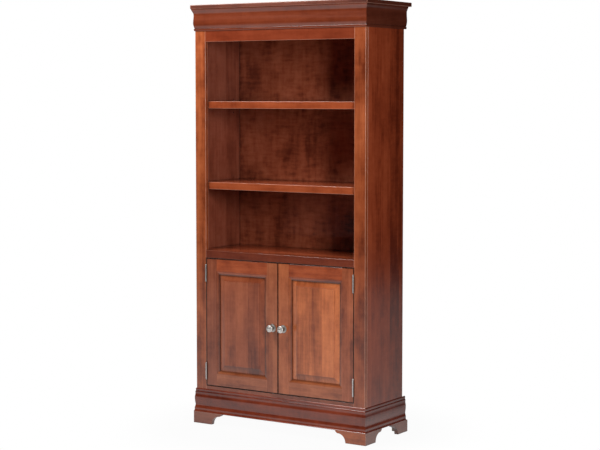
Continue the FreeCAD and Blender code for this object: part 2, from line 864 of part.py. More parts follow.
# ---- doors ----------------------------------------------------------------------------
def sticking_outline(place):
    """A door stile or rail seen end on: flat face, quirk, moulded edge and panel groove.
    place turns a distance from the outer edge and a depth into a point of the sketch, and
    gives the sign that the bow takes there."""
    flat, edge = size.door_stile_flat, door_frame_width
    groove_bottom = edge - size.groove_depth
    groove_far = size.groove_back + size.groove_width
    bow = -size.sticking_bow
    return [
        place(ZERO, ZERO),
        place(flat, ZERO),
        place(flat, size.sticking_quirk, bow),
        place(edge, size.sticking_depth),
        place(edge, size.groove_back),
        place(groove_bottom, size.groove_back),
        place(groove_bottom, groove_far),
        place(edge, groove_far),
        place(edge, size.door_thick),
        place(ZERO, size.door_thick),
    ]


def from_left(across, depth, *bow):
    return (door_left + across, depth, *bow)


def from_right(across, depth, *bow):
    return (door_right - across, depth, *[-b for b in bow])


def from_top(across, depth, *bow):
    return (depth, door_top - across, *bow)


def from_bottom(across, depth, *bow):
    return (depth, door_bottom + across, *[-b for b in bow])


def make_door_stiles():
    lock = new_piece("door_right_lock_stile")
    height = door_top - door_bottom
    pad(lock, draw(lock, "XY", sticking_outline(from_left), door_bottom), height)
    ease(lock, "Z", (door_left, ZERO), (1, 1), door_bottom, door_top)
    bore = draw_circle(
        lock, "XZ", (knob_side, knob_height), size.screw_radius + size.screw_clear, ZERO
    )
    pocket(lock, bore, size.door_thick)
    hinge = new_piece("door_right_hinge_stile")
    pad(hinge, draw(hinge, "XY", sticking_outline(from_right), door_bottom), height)
    ease(hinge, "Z", (door_right, ZERO), (-1, 1), door_bottom, door_top)
    for start in hinge_starts.values():
        cut_block(
            hinge,
            (door_right - size.hinge_leaf_thick, ZERO, start),
            (door_right, size.hinge_leaf_width, start + size.hinge_length),
            "Z",
        )
    return lock, hinge


def make_door_rail(name, place, outer, inward, stiles):
    """A rail whose ends are scribed over the stiles' moulded edges and tongued into their
    grooves: the blank runs from flat to flat, and the stiles are taken out of it."""
    blank = new_body(f"door_right_{name}_rail_blank")
    start = door_left + size.door_stile_flat
    finish = door_right - size.door_stile_flat
    pad(blank, draw(blank, "YZ", sticking_outline(place), start), finish - start)
    ease(blank, "X", (ZERO, outer), (1, inward), start, finish)
    rail = blank
    for index, stile in enumerate(stiles):
        last = index == len(stiles) - 1
        label = f"door_right_{name}_rail" if last else f"{name}_rail_scribed"
        scribed = doc.addObject("Part::Cut", label)
        scribed.Label = label
        scribed.Base = rail
        scribed.Tool = stile
        rail = scribed
    pieces.append(rail)
    return rail


def make_panel():
    """A raised panel: four passes of one cutter leave the bevel, which mitres itself."""
    inset = door_frame_width - size.groove_depth + size.panel_side_clear
    left, right = door_left + inset, door_right - inset
    bottom, top = door_bottom + inset, door_top - inset
    tongue_back = size.groove_back + size.groove_width - size.panel_face_clear
    panel = board(
        "door_right_panel",
        (left, size.panel_field_back, bottom),
        (right, tongue_back, top),
        "Z",
    )
    tongue_front = size.groove_back + size.panel_face_clear
    step_back = size.panel_field_back + size.panel_step

    def cutter(place):
        return [
            place(ZERO, ZERO),
            place(size.panel_raise_width, ZERO),
            place(size.panel_raise_width, step_back, -size.panel_raise_bow),
            place(size.panel_flat_width, tongue_front),
            place(ZERO, tongue_front),
        ]

    def left_edge(across, depth, *bow):
        return (left + across, depth, *bow)

    def right_edge(across, depth, *bow):
        return (right - across, depth, *[-b for b in bow])

    def top_edge(across, depth, *bow):
        return (depth, top - across, *bow)

    def bottom_edge(across, depth, *bow):
        return (depth, bottom + across, *[-b for b in bow])

    for place in (left_edge, right_edge):
        pocket(panel, draw(panel, "XY", cutter(place), bottom), top - bottom)
    for place in (top_edge, bottom_edge):
        pocket(panel, draw(panel, "YZ", cutter(place), left), right - left)
    return panel


def turned(name, outline):
    """A piece turned about the knob's axis, from (distance in front of the door, radius)."""
    body = new_piece(name)
    revolve(body, [(-forward, radius) for forward, radius in outline])
    body.setExpression("Placement.Base.x", knob_side.text)
    body.setExpression("Placement.Base.z", knob_height.text)
    return body


def make_knob():
    """A mushroom knob with a ringed face, on a dished plate, and the screw that holds it."""
    bore = size.screw_radius + size.screw_clear
    plate = size.rosette_thick
    rosette = turned(
        "door_right_rosette",
        [
            (ZERO, bore),
            (plate, bore),
            (plate, size.rosette_flat_radius),
            (size.rosette_edge_thick, size.rosette_radius),
            (ZERO, size.rosette_radius),
        ],
    )
    bore_end = plate + size.screw_grip + size.screw_clear
    knob = turned(
        "door_right_knob",
        [
            (plate, bore),
            (plate, size.knob_base_radius),
            (size.knob_neck_front, size.knob_neck_radius),
            (size.knob_head_front, size.knob_head_radius),
            (size.knob_shoulder_front, size.knob_shoulder_radius),
            (size.knob_rim_front, size.knob_rim_radius),
            (size.knob_groove_front, size.knob_groove_radius),
            (size.knob_dome_front, size.knob_dome_radius),
            (size.knob_reach, ZERO),
            (bore_end, ZERO),
            (bore_end, bore),
        ],
    )
    head_back = -size.door_thick - size.screw_head_thick
    screw = turned(
        "door_right_knob_screw",
        [
            (plate + size.screw_grip, ZERO),
            (plate + size.screw_grip, size.screw_radius),
            (-size.door_thick, size.screw_radius),
            (-size.door_thick, size.screw_head_radius),
            (head_back, size.screw_crown_radius),
            (head_back, ZERO),
        ],
    )
    return rosette, knob, screw


# ---- hinges and catches ---------------------------------------------------------------
def hinge_leaf(name, leaf_side, kept, start):
    """One leaf of a butt hinge with the knuckles in kept, numbered from the bottom."""
    leaf = new_body(name)
    ring = (hinge_side, hinge_forward)
    length = size.hinge_length
    low = (leaf_side, hinge_forward, start)
    high = (leaf_side + size.hinge_leaf_thick, size.hinge_leaf_width, start + length)
    add_block(leaf, low, high, "Z")
    barrel = draw_circle(leaf, "XY", ring, size.hinge_barrel_radius, start)
    pad(leaf, barrel, length)
    bore_radius = size.hinge_pin_radius + size.hinge_pin_clear
    pocket(leaf, draw_circle(leaf, "XY", ring, bore_radius, start), length)
    knuckle = length / KNUCKLES
    reach = size.hinge_barrel_radius + size.hinge_barrel_clear
    for number_up in range(KNUCKLES):
        if number_up in kept:
            continue
        gap_below = size.hinge_knuckle_gap if number_up > 0 else ZERO
        gap_above = size.hinge_knuckle_gap if number_up < KNUCKLES - 1 else ZERO
        below = start + knuckle * number_up - gap_below / 2
        above = start + knuckle * (number_up + 1) + gap_above / 2
        cut_block(
            leaf,
            (hinge_side - reach, hinge_forward - reach, below),
            (hinge_side + reach, size.hinge_barrel_clear, above),
            "Z",
        )
    return leaf


def hinge_pin(start):
    """The loose pin, with a tapered tip at each end of the barrel."""
    pin = new_body("hinge_pin")
    radius, tip, flat = size.hinge_pin_radius, size.hinge_tip_radius, size.hinge_tip_flat
    low = start - size.hinge_knuckle_gap
    high = start + size.hinge_length + size.hinge_knuckle_gap
    outline = [
        (ZERO, low - size.hinge_tip_height),
        (flat, low - size.hinge_tip_height),
        (tip, low),
        (radius, low),
        (radius, high),
        (tip, high),
        (flat, high + size.hinge_tip_height),
        (ZERO, high + size.hinge_tip_height),
    ]
    turning = pin.newObject("PartDesign::Revolution", "hinge_pin_turning")
    turning.Profile = draw(pin, "XZ", outline, ZERO)
    turning.ReferenceAxis = (turning.Profile[0], ["V_Axis"])
    turning.Angle = 360
    pin.setExpression("Placement.Base.x", hinge_side.text)
    pin.setExpression("Placement.Base.y", (front + hinge_forward).text)
    return pin


def make_hinges():
    outer = [n for n in range(KNUCKLES) if n % 2 == 0]
    inner = [n for n in range(KNUCKLES) if n % 2 == 1]
    case_leaves, door_leaves, pins = [], [], []
    for where, start in hinge_starts.items():
        case_leaves.append(hinge_leaf(f"case_leaf_{where}", opening_side, outer, start))
        door_side = door_right - size.hinge_leaf_thick
        door_leaves.append(hinge_leaf(f"door_leaf_{where}", door_side, inner, start))
        pins.append(hinge_pin(start))
    twins = [mirror(f"{item.Name}_twin", item) for item in case_leaves + pins]
    group("case_hinge_leaves", case_leaves + twins[: len(case_leaves)])
    group("hinge_pins", pins + twins[len(case_leaves) :])
    return group("door_right_hinge_leaves", door_leaves)


def make_catch():
    """A magnet block under the open section's floor, and its steel plate on the door."""
    strike_front = size.door_thick
    strike_back = strike_front + size.strike_thick
    block_front = strike_back.or_more(size.frame_thick) + size.strike_gap
    bottom = door_top - size.catch_below
    block = new_body("magnetic_catch_block")
    low = (size.catch_apart, block_front, bottom)
    high = (
        size.catch_apart + size.catch_width,
        block_front + size.catch_depth,
        size.middle_rail_top - size.board_thick,
    )
    add_block(block, low, high, "Z")
    group("magnetic_catches", [block, mirror("magnetic_catch_twin", block)])
    inset = size.strike_inset
    strike = board(
        "door_right_strike",
        (low[0] + inset, strike_front, bottom + inset),
        (high[0] - inset, strike_back, door_top - inset),
        "Y",
    )
    return strike


# ---- make everything ------------------------------------------------------------------
mirror_piece("side_left", make_side())
mirror_piece("stile_left", make_stile())
for rail_name in rail_heights:
    make_rail(rail_name)
make_fixed_board("case_top", case_top)
make_fixed_board("cupboard_top", size.middle_rail_top)
make_fixed_board("cupboard_floor", size.cupboard_bottom)
make_back()
make_shelf("upper", size.upper_shelf_top)
make_shelf("lower", size.lower_shelf_top)
make_cupboard_shelf(size.cupboard_shelf_top)
make_shelf_pins()
make_cap()
make_moulding("crown", crown_profile, size.crown_lip_reach, size.crown_rear_reach)
make_moulding("base_moulding", base_profile, size.foot_reach, size.base_rear_reach)
make_base_frame()
make_front_foot()
make_rear_foot()
make_glue_blocks()
lock_stile, hinge_stile = make_door_stiles()
door_pieces = [
    lock_stile,
    hinge_stile,
    make_door_rail("top", from_top, door_top, -1, (lock_stile, hinge_stile)),
    make_door_rail("bottom", from_bottom, door_bottom, 1, (lock_stile, hinge_stile)),
    make_panel(),
    *make_knob(),
    make_hinges(),
    make_catch(),
]
for piece in door_pieces:
    mirror_piece(piece.Label.replace("right", "left"), piece)
doc.recompute()

# ---- check and write ------------------------------------------------------------------
for item in doc.Objects:
    if "Invalid" in item.State or "Error" in item.State:
        raise RuntimeError(f"{item.Label} failed: {item.State}")
for piece in pieces:
    if piece.Shape.isNull() or not piece.Shape.isValid():
        raise RuntimeError(f"{piece.Label} has no valid shape")
for feature in cuts:
    before = feature.BaseFeature.Shape.Volume
    if not feature.Shape.Volume < before - 0.01:
        raise RuntimeError(f"{feature.Label} takes nothing away")
os.makedirs("parts", exist_ok=True)
for piece in pieces:
    piece.Shape.exportStep(f"parts/{piece.Label}.step")
print(len(pieces), "pieces")
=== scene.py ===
import math

import bmesh
import bpy
from mathutils import Matrix, Vector


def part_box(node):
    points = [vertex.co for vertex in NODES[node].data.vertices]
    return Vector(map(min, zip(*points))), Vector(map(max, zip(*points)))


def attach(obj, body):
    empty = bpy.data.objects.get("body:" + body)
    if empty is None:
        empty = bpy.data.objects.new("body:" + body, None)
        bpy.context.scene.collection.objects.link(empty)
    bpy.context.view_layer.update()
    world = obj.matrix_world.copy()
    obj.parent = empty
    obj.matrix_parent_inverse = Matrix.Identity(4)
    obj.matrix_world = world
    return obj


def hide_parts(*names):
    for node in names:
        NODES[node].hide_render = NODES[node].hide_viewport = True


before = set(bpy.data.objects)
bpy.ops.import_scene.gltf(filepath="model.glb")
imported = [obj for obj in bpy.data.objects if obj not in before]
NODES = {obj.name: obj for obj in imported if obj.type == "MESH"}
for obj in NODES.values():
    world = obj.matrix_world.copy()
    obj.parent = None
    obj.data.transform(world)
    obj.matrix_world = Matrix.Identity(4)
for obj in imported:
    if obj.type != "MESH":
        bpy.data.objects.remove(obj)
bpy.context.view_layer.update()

# A tall bookcase of glued-up maple under a red-brown cherry stain and semi-gloss lacquer.
# Metres, in the part's own frame: +Z is up and the doors face -Y.

SCENE = bpy.context.scene
AXIS = {"X": Vector((1, 0, 0)), "Y": Vector((0, 1, 0)), "Z": Vector((0, 0, 1))}


# ---- node helpers ---------------------------------------------------------------------
def feed(tree, value, socket):
    """Wires an output into a socket, or sets the socket's own value."""
    if isinstance(value, bpy.types.NodeSocket):
        tree.links.new(value, socket)
    else:
        socket.default_value = value


def calc(tree, operation, *values, clamp=False):
    """One step of arithmetic on outputs or plain numbers."""
    node = tree.nodes.new("ShaderNodeMath")
    node.operation = operation
    node.use_clamp = clamp
    for value, socket in zip(values, node.inputs):
        feed(tree, value, socket)
    return node.outputs[0]


def length_of(tree, first, second):
    """The length of the slope over two sides that meet squarely."""
    squares = calc(tree, "MULTIPLY_ADD", first, first, calc(tree, "MULTIPLY", second, second))
    return calc(tree, "SQRT", squares)


def vector_calc(tree, operation, *values):
    node = tree.nodes.new("ShaderNodeVectorMath")
    node.operation = operation
    for value, socket in zip(values, node.inputs):
        feed(tree, value, socket)
    return node.outputs[0]


def split(tree, vector):
    node = tree.nodes.new("ShaderNodeSeparateXYZ")
    feed(tree, vector, node.inputs[0])
    return node.outputs


def join(tree, x, y, z):
    node = tree.nodes.new("ShaderNodeCombineXYZ")
    for value, socket in zip((x, y, z), node.inputs):
        feed(tree, value, socket)
    return node.outputs[0]


def noise(tree, vector, scale, detail=2.0, rough=0.5, output="Fac"):
    node = tree.nodes.new("ShaderNodeTexNoise")
    feed(tree, vector, node.inputs["Vector"])
    node.inputs["Scale"].default_value = scale
    node.inputs["Detail"].default_value = detail
    node.inputs["Roughness"].default_value = rough
    return node.outputs[output]


def drawn_noise(tree, vector, across, along, detail=2.0, rough=0.5, output="Fac"):
    """Noise drawn out along Z: so many waves per metre across it and along it."""
    drawn = vector_calc(tree, "MULTIPLY", vector, (across, across, along))
    return noise(tree, drawn, 1.0, detail, rough, output)


def noise_along(tree, distance, detail=3.0, rough=0.6):
    """Noise that changes with one number, such as the distance from a tree's heart."""
    node = tree.nodes.new("ShaderNodeTexNoise")
    node.noise_dimensions = "1D"
    feed(tree, distance, node.inputs["W"])
    node.inputs["Scale"].default_value = 1.0
    node.inputs["Detail"].default_value = detail
    node.inputs["Roughness"].default_value = rough
    return node.outputs["Fac"]


def ramp(tree, value, low, high, out_low=0.0, out_high=1.0):
    """Takes low..high to out_low..out_high in a smooth step, and holds the ends."""
    node = tree.nodes.new("ShaderNodeMapRange")
    node.interpolation_type = "SMOOTHSTEP"
    for number, socket in zip((value, low, high, out_low, out_high), node.inputs):
        feed(tree, number, socket)
    return node.outputs[0]


def mix(tree, share, first, second):
    """The first colour with a share of the second laid over it."""
    node = tree.nodes.new("ShaderNodeMix")
    node.data_type = "RGBA"
    feed(tree, share, node.inputs[0])
    feed(tree, first, node.inputs[6])
    feed(tree, second, node.inputs[7])
    return node.outputs[2]


def shader_group(name, inputs, outputs):
    """An empty group with its own sockets, as (tree, what it is given, what it makes)."""
    tree = bpy.data.node_groups.new(name, "ShaderNodeTree")
    for label, kind, default in inputs:
        socket = tree.interface.new_socket(label, in_out="INPUT", socket_type=kind)
        socket.default_value = default
    for label, kind in outputs:
        tree.interface.new_socket(label, in_out="OUTPUT", socket_type=kind)
    given = tree.nodes.new("NodeGroupInput").outputs
    return tree, given, tree.nodes.new("NodeGroupOutput").inputs


def place_group(tree, group, **values):
    """Puts a group in a material. Its inputs are named here with _ for each space."""
    node = tree.nodes.new("ShaderNodeGroup")
    node.node_tree = group
    for label, value in values.items():
        feed(tree, value, node.inputs[label.replace("_", " ")])
    return node.outputs


NUMBER, VECTOR, COLOUR = "NodeSocketFloat", "NodeSocketVector", "NodeSocketColor"


# ---- effects that several finishes share ----------------------------------------------
def stained_maple():
    """Maple under stain. Place has the grain along Z and the board's width along X."""
    tree, given, made = shader_group(
        "Stained maple",
        [
            ("Place", VECTOR, (0, 0, 0)),
            ("Facing", VECTOR, (0, 0, 0)),
            ("Board width", NUMBER, 1.0),
            ("Tree", NUMBER, 0.0),
            ("Dark", COLOUR, (0.05, 0.01, 0.005, 1)),
            ("Middle", COLOUR, (0.2, 0.05, 0.02, 1)),
            ("Light", COLOUR, (0.4, 0.12, 0.04, 1)),
            ("Board contrast", NUMBER, 0.2),
            ("Figure", NUMBER, 0.6),
            ("Blotch", NUMBER, 0.5),
            ("Streak", NUMBER, 0.4),
            ("Curl", NUMBER, 0.3),
        ],
        [("Colour", COLOUR), ("Roughness", NUMBER), ("Height", NUMBER)],
    )
    x, y, z = split(tree, given["Place"])
    board = calc(tree, "ROUND", calc(tree, "DIVIDE", x, given["Board width"]))
    stock = calc(tree, "MULTIPLY_ADD", given["Tree"], 13.7, calc(tree, "MULTIPLY", board, 2.3))
    dice = tree.nodes.new("ShaderNodeTexWhiteNoise")
    dice.noise_dimensions = "1D"
    feed(tree, stock, dice.inputs["W"])
    chance = split(tree, dice.outputs["Color"])
    across = calc(tree, "SUBTRACT", x, calc(tree, "MULTIPLY", board, given["Board width"]))
    along = calc(tree, "ADD", z, calc(tree, "MULTIPLY", stock, 1.31))
    grain = join(tree, x, y, along)

    # The growth rings of each board's tree, round a heart that sways and leans
    slow = drawn_noise(tree, grain, 5, 1.4, output="Color")
    sway = split(tree, vector_calc(tree, "SUBTRACT", slow, (0.5, 0.5, 0.5)))
    heart_x = calc(tree, "MULTIPLY_ADD", chance[0], 0.12, -0.06)
    heart_x = calc(tree, "MULTIPLY_ADD", sway[0], 0.05, heart_x)
    lean = calc(tree, "MULTIPLY_ADD", chance[2], 0.05, -0.025)
    heart_x = calc(tree, "MULTIPLY_ADD", z, lean, heart_x)
    heart_y = calc(tree, "MULTIPLY_ADD", chance[1], 0.11, 0.025)
    heart_y = calc(tree, "MULTIPLY_ADD", sway[1], 0.04, heart_y)
    ring = length_of(tree, calc(tree, "SUBTRACT", across, heart_x), calc(tree, "ADD", y, heart_y))
    growth = noise_along(tree, calc(tree, "MULTIPLY_ADD", ring, 34.0, stock), 3.0, 0.55)
    fine = noise_along(tree, calc(tree, "MULTIPLY_ADD", ring, 420.0, stock), 2.0, 0.6)

    # How the wood took the stain
    streak = drawn_noise(tree, grain, 95, 1.9, 3.0, 0.6)
    cloud = drawn_noise(tree, grain, 8, 3.4)
    mottle = drawn_noise(tree, grain, 30, 13, 3.0, 0.6)
    curl = drawn_noise(tree, grain, 15, 62, 3.0)
    fleck = ramp(tree, drawn_noise(tree, grain, 900, 55, 1.0), 0.62, 0.74)
    tone = 0.5
    for marks, setting, strength in (
        (growth, "Figure", 1.3),
        (cloud, "Blotch", 2.4),
        (mottle, "Blotch", 1.5),
        (curl, "Curl", 1.0),
        (streak, "Streak", 1.0),
        (fine, None, 0.22),
        (chance[1], "Board contrast", 2.0),
    ):
        if setting:
            strength = calc(tree, "MULTIPLY", given[setting], strength)
        off_middle = calc(tree, "SUBTRACT", marks, 0.5)
        tone = calc(tree, "ADD", tone, calc(tree, "MULTIPLY", off_middle, strength))
    lower = calc(tree, "MULTIPLY", tone, 2.0, clamp=True)
    upper = calc(tree, "MULTIPLY_ADD", tone, 2.0, -1.0, clamp=True)
    colour = mix(tree, lower, given["Dark"], given["Middle"])
    colour = mix(tree, upper, colour, given["Light"])
    colour = mix(tree, calc(tree, "MULTIPLY", fleck, 0.3), colour, given["Dark"])
    end_grain = calc(tree, "ABSOLUTE", split(tree, given["Facing"])[2])
    end_grain = ramp(tree, end_grain, 0.06, 0.6, 0.0, 0.75)
    colour = mix(tree, end_grain, colour, given["Dark"])
    feed(tree, colour, made["Colour"])
    shine = calc(tree, "MULTIPLY_ADD", streak, 0.14, 0.11)
    feed(tree, calc(tree, "MULTIPLY_ADD", end_grain, 0.12, shine), made["Roughness"])
    relief = calc(tree, "MULTIPLY_ADD", fine, 0.4, calc(tree, "MULTIPLY", streak, 0.6))
    feed(tree, calc(tree, "MULTIPLY_ADD", fleck, -0.5, relief), made["Height"])
    return tree


def rubbed_edges():
    """The edges of a squared piece. A pale colour laid there is a painted highlight, the
    lacquer catching the light on the arris, with the stain a little thinned by wear; a dark
    one is painted shade."""
    tree, given, made = shader_group(
        "Painted edge light and shade",
        [
            ("Place", VECTOR, (0, 0, 0)),
            ("Low corner", VECTOR, (0, 0, 0)),
            ("High corner", VECTOR, (0, 0, 0)),
            ("Reach", NUMBER, 0.003),
        ],
        [("Edge paint", NUMBER)],
    )
    inside_low = vector_calc(tree, "SUBTRACT", given["Place"], given["Low corner"])
    inside_high = vector_calc(tree, "SUBTRACT", given["High corner"], given["Place"])
    # A point is near an edge when the second smallest of its three depths is small
    a, b, c = split(tree, vector_calc(tree, "MINIMUM", inside_low, inside_high))
    larger = calc(tree, "MAXIMUM", a, b)
    second = calc(tree, "MAXIMUM", calc(tree, "MINIMUM", a, b), calc(tree, "MINIMUM", larger, c))
    uneven = noise(tree, given["Place"], 45.0, 2.0, 0.6)
    reach = calc(tree, "MULTIPLY", given["Reach"], calc(tree, "MULTIPLY_ADD", uneven, 1.4, 0.3))
    share = calc(tree, "DIVIDE", second, reach)
    feed(tree, ramp(tree, share, 0.25, 1.0, 1.0, 0.0), made["Edge paint"])
    return tree


def painted_corner_shade():
    """Painted shade: darker inside corners, quirks and along the joints, where shade falls, and
    also standing for stain that gathers there.
    """
    tree, _, made = shader_group("Painted corner shade", [], [("Depth", NUMBER)])
    corner = tree.nodes.new("ShaderNodeAmbientOcclusion")
    corner.samples = 6
    corner.inputs["Distance"].default_value = 0.011
    feed(tree, ramp(tree, corner.outputs["AO"], 0.3, 0.9, 1.0, 0.0), made["Depth"])
    return tree


def painted_rim_shade():
    """A rim of painted shade round an opening in the front, darkest next to it, as shade falls
    into the gap.
    """
    tree, given, made = shader_group(
        "Painted rim shade",
        [
            ("Place", VECTOR, (0, 0, 0)),
            ("Opening middle", VECTOR, (0, 0, 0)),
            ("Opening half", VECTOR, (1, 1, 1)),
            ("Reach", NUMBER, 0.003),
        ],
        [("Rim shade", NUMBER)],
    )
    from_middle = vector_calc(tree, "SUBTRACT", given["Place"], given["Opening middle"])
    from_middle = vector_calc(tree, "ABSOLUTE", from_middle)
    x, _, z = split(tree, vector_calc(tree, "SUBTRACT", from_middle, given["Opening half"]))
    uneven = noise(tree, given["Place"], 30.0, 2.0, 0.6)
    reach = calc(tree, "MULTIPLY", given["Reach"], calc(tree, "MULTIPLY_ADD", uneven, 0.9, 0.55))
    share = calc(tree, "DIVIDE", calc(tree, "MAXIMUM", x, z), reach)
    feed(tree, ramp(tree, share, 0.2, 1.0, 1.0, 0.0), made["Rim shade"])
    return tree


MAPLE = stained_maple()
EDGE_LIGHT_AND_SHADE = rubbed_edges()
CORNER_SHADE = painted_corner_shade()
RIM_SHADE = painted_rim_shade()


# ---- stains ---------------------------------------------------------------------------
def srgb(*numbers):
    """A colour given in the usual 0-255 numbers, as the shader's linear ones."""
    shares = [number / 255 for number in numbers]
    return (*[s / 12.92 if s <= 0.04045 else ((s + 0.055) / 1.055) ** 2.4 for s in shares], 1)


def deeper(tone):
    """The tone where much stain has soaked in."""
    return (tone[0] * 0.45, tone[1] * 0.36, tone[2] * 0.36, 1)


def paler(tone):
    """The tone where little has."""
    return (tone[0] * 1.4, tone[1] * 1.62, tone[2] * 1.75, 1)


# Painted shade: its brown, laid in corners, round openings and along the doors' edges, and its
# share in the corners
SHADE_BROWN = srgb(34, 13, 8)
CORNER_SHADE_SHARE = 0.8
# A painted highlight on the arrises, where the lacquer catches the light, with some stain thinned
# by wear
HIGHLIGHT_PINK = srgb(212, 148, 122)
GRAIN_RELIEF = 0.00012
# Moves a joined end so far off that no edge shows there
PAST_THE_JOINT = 0.1


def start_material(name):
    """A new material, as (material, tree, its shader, its texture coordinates)."""
    material = bpy.data.materials.new(name)
    material.use_nodes = True
    tree = material.node_tree
    shader = tree.nodes["Principled BSDF"]
    where = tree.nodes.new("ShaderNodeTexCoord")
    return material, tree, shader, where


def turn_and_centre(tree, source, rows, centre, kind="POINT"):
    """Object coordinates or normals in a board's own directions: across, through, along."""
    node = tree.nodes.new("ShaderNodeMapping")
    node.vector_type = kind
    feed(tree, source, node.inputs["Vector"])
    node.inputs["Rotation"].default_value = rows.to_euler()
    if kind == "POINT":
        node.inputs["Location"].default_value = -(rows @ centre)
    return node.outputs[0]


def raise_bump(tree, height, shader, depth):
    """Makes the height of a pattern felt in the light, for relief too fine to model."""
    bump = tree.nodes.new("ShaderNodeBump")
    bump.inputs["Distance"].default_value = depth
    bump.inputs["Strength"].default_value = 0.5
    feed(tree, height, bump.inputs["Height"])
    feed(tree, bump.outputs["Normal"], shader.inputs["Normal"])


def wood(name, tone, grain, across, seed, box, width=9.0, contrast=0.15, figure=0.6,
         blotch=0.5, streak=0.4, curl=0.3, edge=HIGHLIGHT_PINK, rub=0.4, reach=0.0032, joined="",
         dull=0.0, dusty=0.0, gloss=0.7, opening=None):
    """Stained and lacquered maple, cut with its grain along one axis and its width along
    another. width is that of the boards it is glued up from. Its edges take a share, given
    after edge, of the colour edge as far in as reach, but not on the axis joined, whose two
    ends meet other pieces: a painted highlight, or painted shade where that colour is dark.
    dull is added to the roughness all over and dusty only on what faces up. opening is
    (middle, half size, reach, share) of the rim of painted shade next to the piece."""
    low, high = box
    centre = (low + high) / 2
    along, over = AXIS[grain], AXIS[across]
    rows = Matrix((over, along.cross(over), along))
    material, tree, shader, where = start_material(name)
    board = place_group(
        tree,
        MAPLE,
        Place=turn_and_centre(tree, where.outputs["Object"], rows, centre),
        Facing=turn_and_centre(tree, where.outputs["Normal"], rows, centre, "VECTOR"),
        Board_width=width,
        Tree=float(seed),
        Dark=deeper(tone),
        Middle=tone,
        Light=paler(tone),
        Board_contrast=contrast,
        Figure=figure,
        Blotch=blotch,
        Streak=streak,
        Curl=curl,
    )
    colour = board["Colour"]
    # Painted highlight, or painted shade where the edge colour is dark, along the piece's edges
    if rub:
        spare = AXIS[joined] * PAST_THE_JOINT if joined else Vector()
        edge_mask = place_group(
            tree,
            EDGE_LIGHT_AND_SHADE,
            Place=where.outputs["Object"],
            Low_corner=low - spare,
            High_corner=high + spare,
            Reach=reach,
        )["Edge paint"]
        colour = mix(tree, calc(tree, "MULTIPLY", edge_mask, rub), colour, edge)
    # Painted shade round the opening next to the piece
    if opening:
        middle, half, rim_reach, share = opening
        rim_shade = place_group(
            tree,
            RIM_SHADE,
            Place=where.outputs["Object"],
            Opening_middle=middle,
            Opening_half=half,
            Reach=rim_reach,
        )["Rim shade"]
        colour = mix(tree, calc(tree, "MULTIPLY", rim_shade, share), colour, SHADE_BROWN)
    # Painted shade in the piece's inside corners and joints, with some stain gathered there
    corner_shade = place_group(tree, CORNER_SHADE)["Depth"]
    colour = mix(tree, calc(tree, "MULTIPLY", corner_shade, CORNER_SHADE_SHARE), colour, SHADE_BROWN)
    feed(tree, colour, shader.inputs["Base Color"])
    roughness = calc(tree, "ADD", board["Roughness"], dull) if dull else board["Roughness"]
    if dusty:
        up = ramp(tree, split(tree, where.outputs["Normal"])[2], 0.5, 0.9, 0.0, dusty)
        roughness = calc(tree, "ADD", roughness, up)
    feed(tree, roughness, shader.inputs["Roughness"])
    shader.inputs["Specular IOR Level"].default_value = gloss
    raise_bump(tree, board["Height"], shader, GRAIN_RELIEF)
    return material


def finish(node, material):
    """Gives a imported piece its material."""
    mesh = NODES[node].data
    if not mesh.materials:
        mesh.materials.append(material)
    for index in range(len(mesh.materials)):
        mesh.materials[index] = material


def stain(node, tone, grain, across, seed, **settings):
    """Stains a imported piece. The tone is in 0-255 numbers, and each seed is another tree."""
    name = "Maple " + node.replace("_", " ")
    finish(node, wood(name, srgb(*tone), grain, across, seed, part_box(node), **settings))


def rim(left, right, lower, upper, reach, share):
    """The rim of painted shade round the opening between four pieces."""
    low = Vector((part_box(left)[1].x, 0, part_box(lower)[1].z))
    high = Vector((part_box(right)[0].x, 0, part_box(upper)[0].z))
    return {"opening": ((low + high) / 2, (high - low) / 2, reach, share)}


# The case: glued-up sides, solid frame, plywood back
BOARD = (160, 74, 44)
# Painted shade on the face frame round the door opening
DOORWAY = rim("stile_left", "stile_right", "bottom_rail", "middle_rail", 0.0033, 0.75)
stain("side_right", (146, 61, 33), "Z", "Y", 101, width=0.083, contrast=0.35, streak=0.65, rub=0.6)
stain("side_left", (139, 71, 50), "Z", "Y", 8, width=0.083, contrast=0.2, streak=0.6)
for hand, tone, seed in (("left", (172, 87, 49), 11), ("right", (158, 77, 43), 12)):
    stain(f"stile_{hand}", tone, "Z", "X", seed, rub=0.7, blotch=0.8, streak=0.55, **DOORWAY)
stain("top_rail", (130, 54, 30), "X", "Z", 13)
stain("middle_rail", (124, 53, 31), "X", "Z", 14, rub=0.15, **DOORWAY)
stain("bottom_rail", (158, 78, 46), "X", "Z", 15, **DOORWAY)
for seed, node in enumerate(("case_top", "cupboard_top", "cupboard_floor", "cupboard_shelf"), 16):
    stain(node, BOARD, "X", "Y", seed, width=0.09)
stain("back_panel", (150, 76, 50), "Z", "X", 20, figure=0.22, blotch=0.8, streak=0.25, curl=1.1)
for height, seed in (("upper", 21), ("lower", 24)):
    stain(f"{height}_shelf", BOARD, "X", "Y", seed, width=0.09)
    stain(f"{height}_shelf_nosing", (168, 79, 44), "X", "Z", seed + 1, rub=0.5)

# Cap, feet and the bare wood under the case
stain("cap_board", (116, 58, 40), "X", "Y", 31, width=0.09, dull=0.14, dusty=0.4)
stain("foot_front_left_face", (146, 80, 58), "X", "Z", 41)
stain("foot_front_right_face", (186, 96, 50), "X", "Z", 44)
BARE = (204, 174, 130)
for seed, hand in ((42, "left"), (45, "right")):
    stain(f"foot_front_{hand}_side", (136, 74, 52), "Y", "Z", seed)
    stain(f"foot_rear_{hand}_side", (146, 80, 56), "Y", "Z", seed + 1)
    stain(f"foot_rear_{hand}_brace", BARE, "X", "Z", seed + 2)
    stain(f"base_frame_{hand}", BARE, "Y", "X", seed + 5)
stain("base_frame_front", BARE, "X", "Y", 51)
stain("base_frame_back", BARE, "X", "Y", 52)
stain("foot_glue_blocks", BARE, "Z", "X", 53)
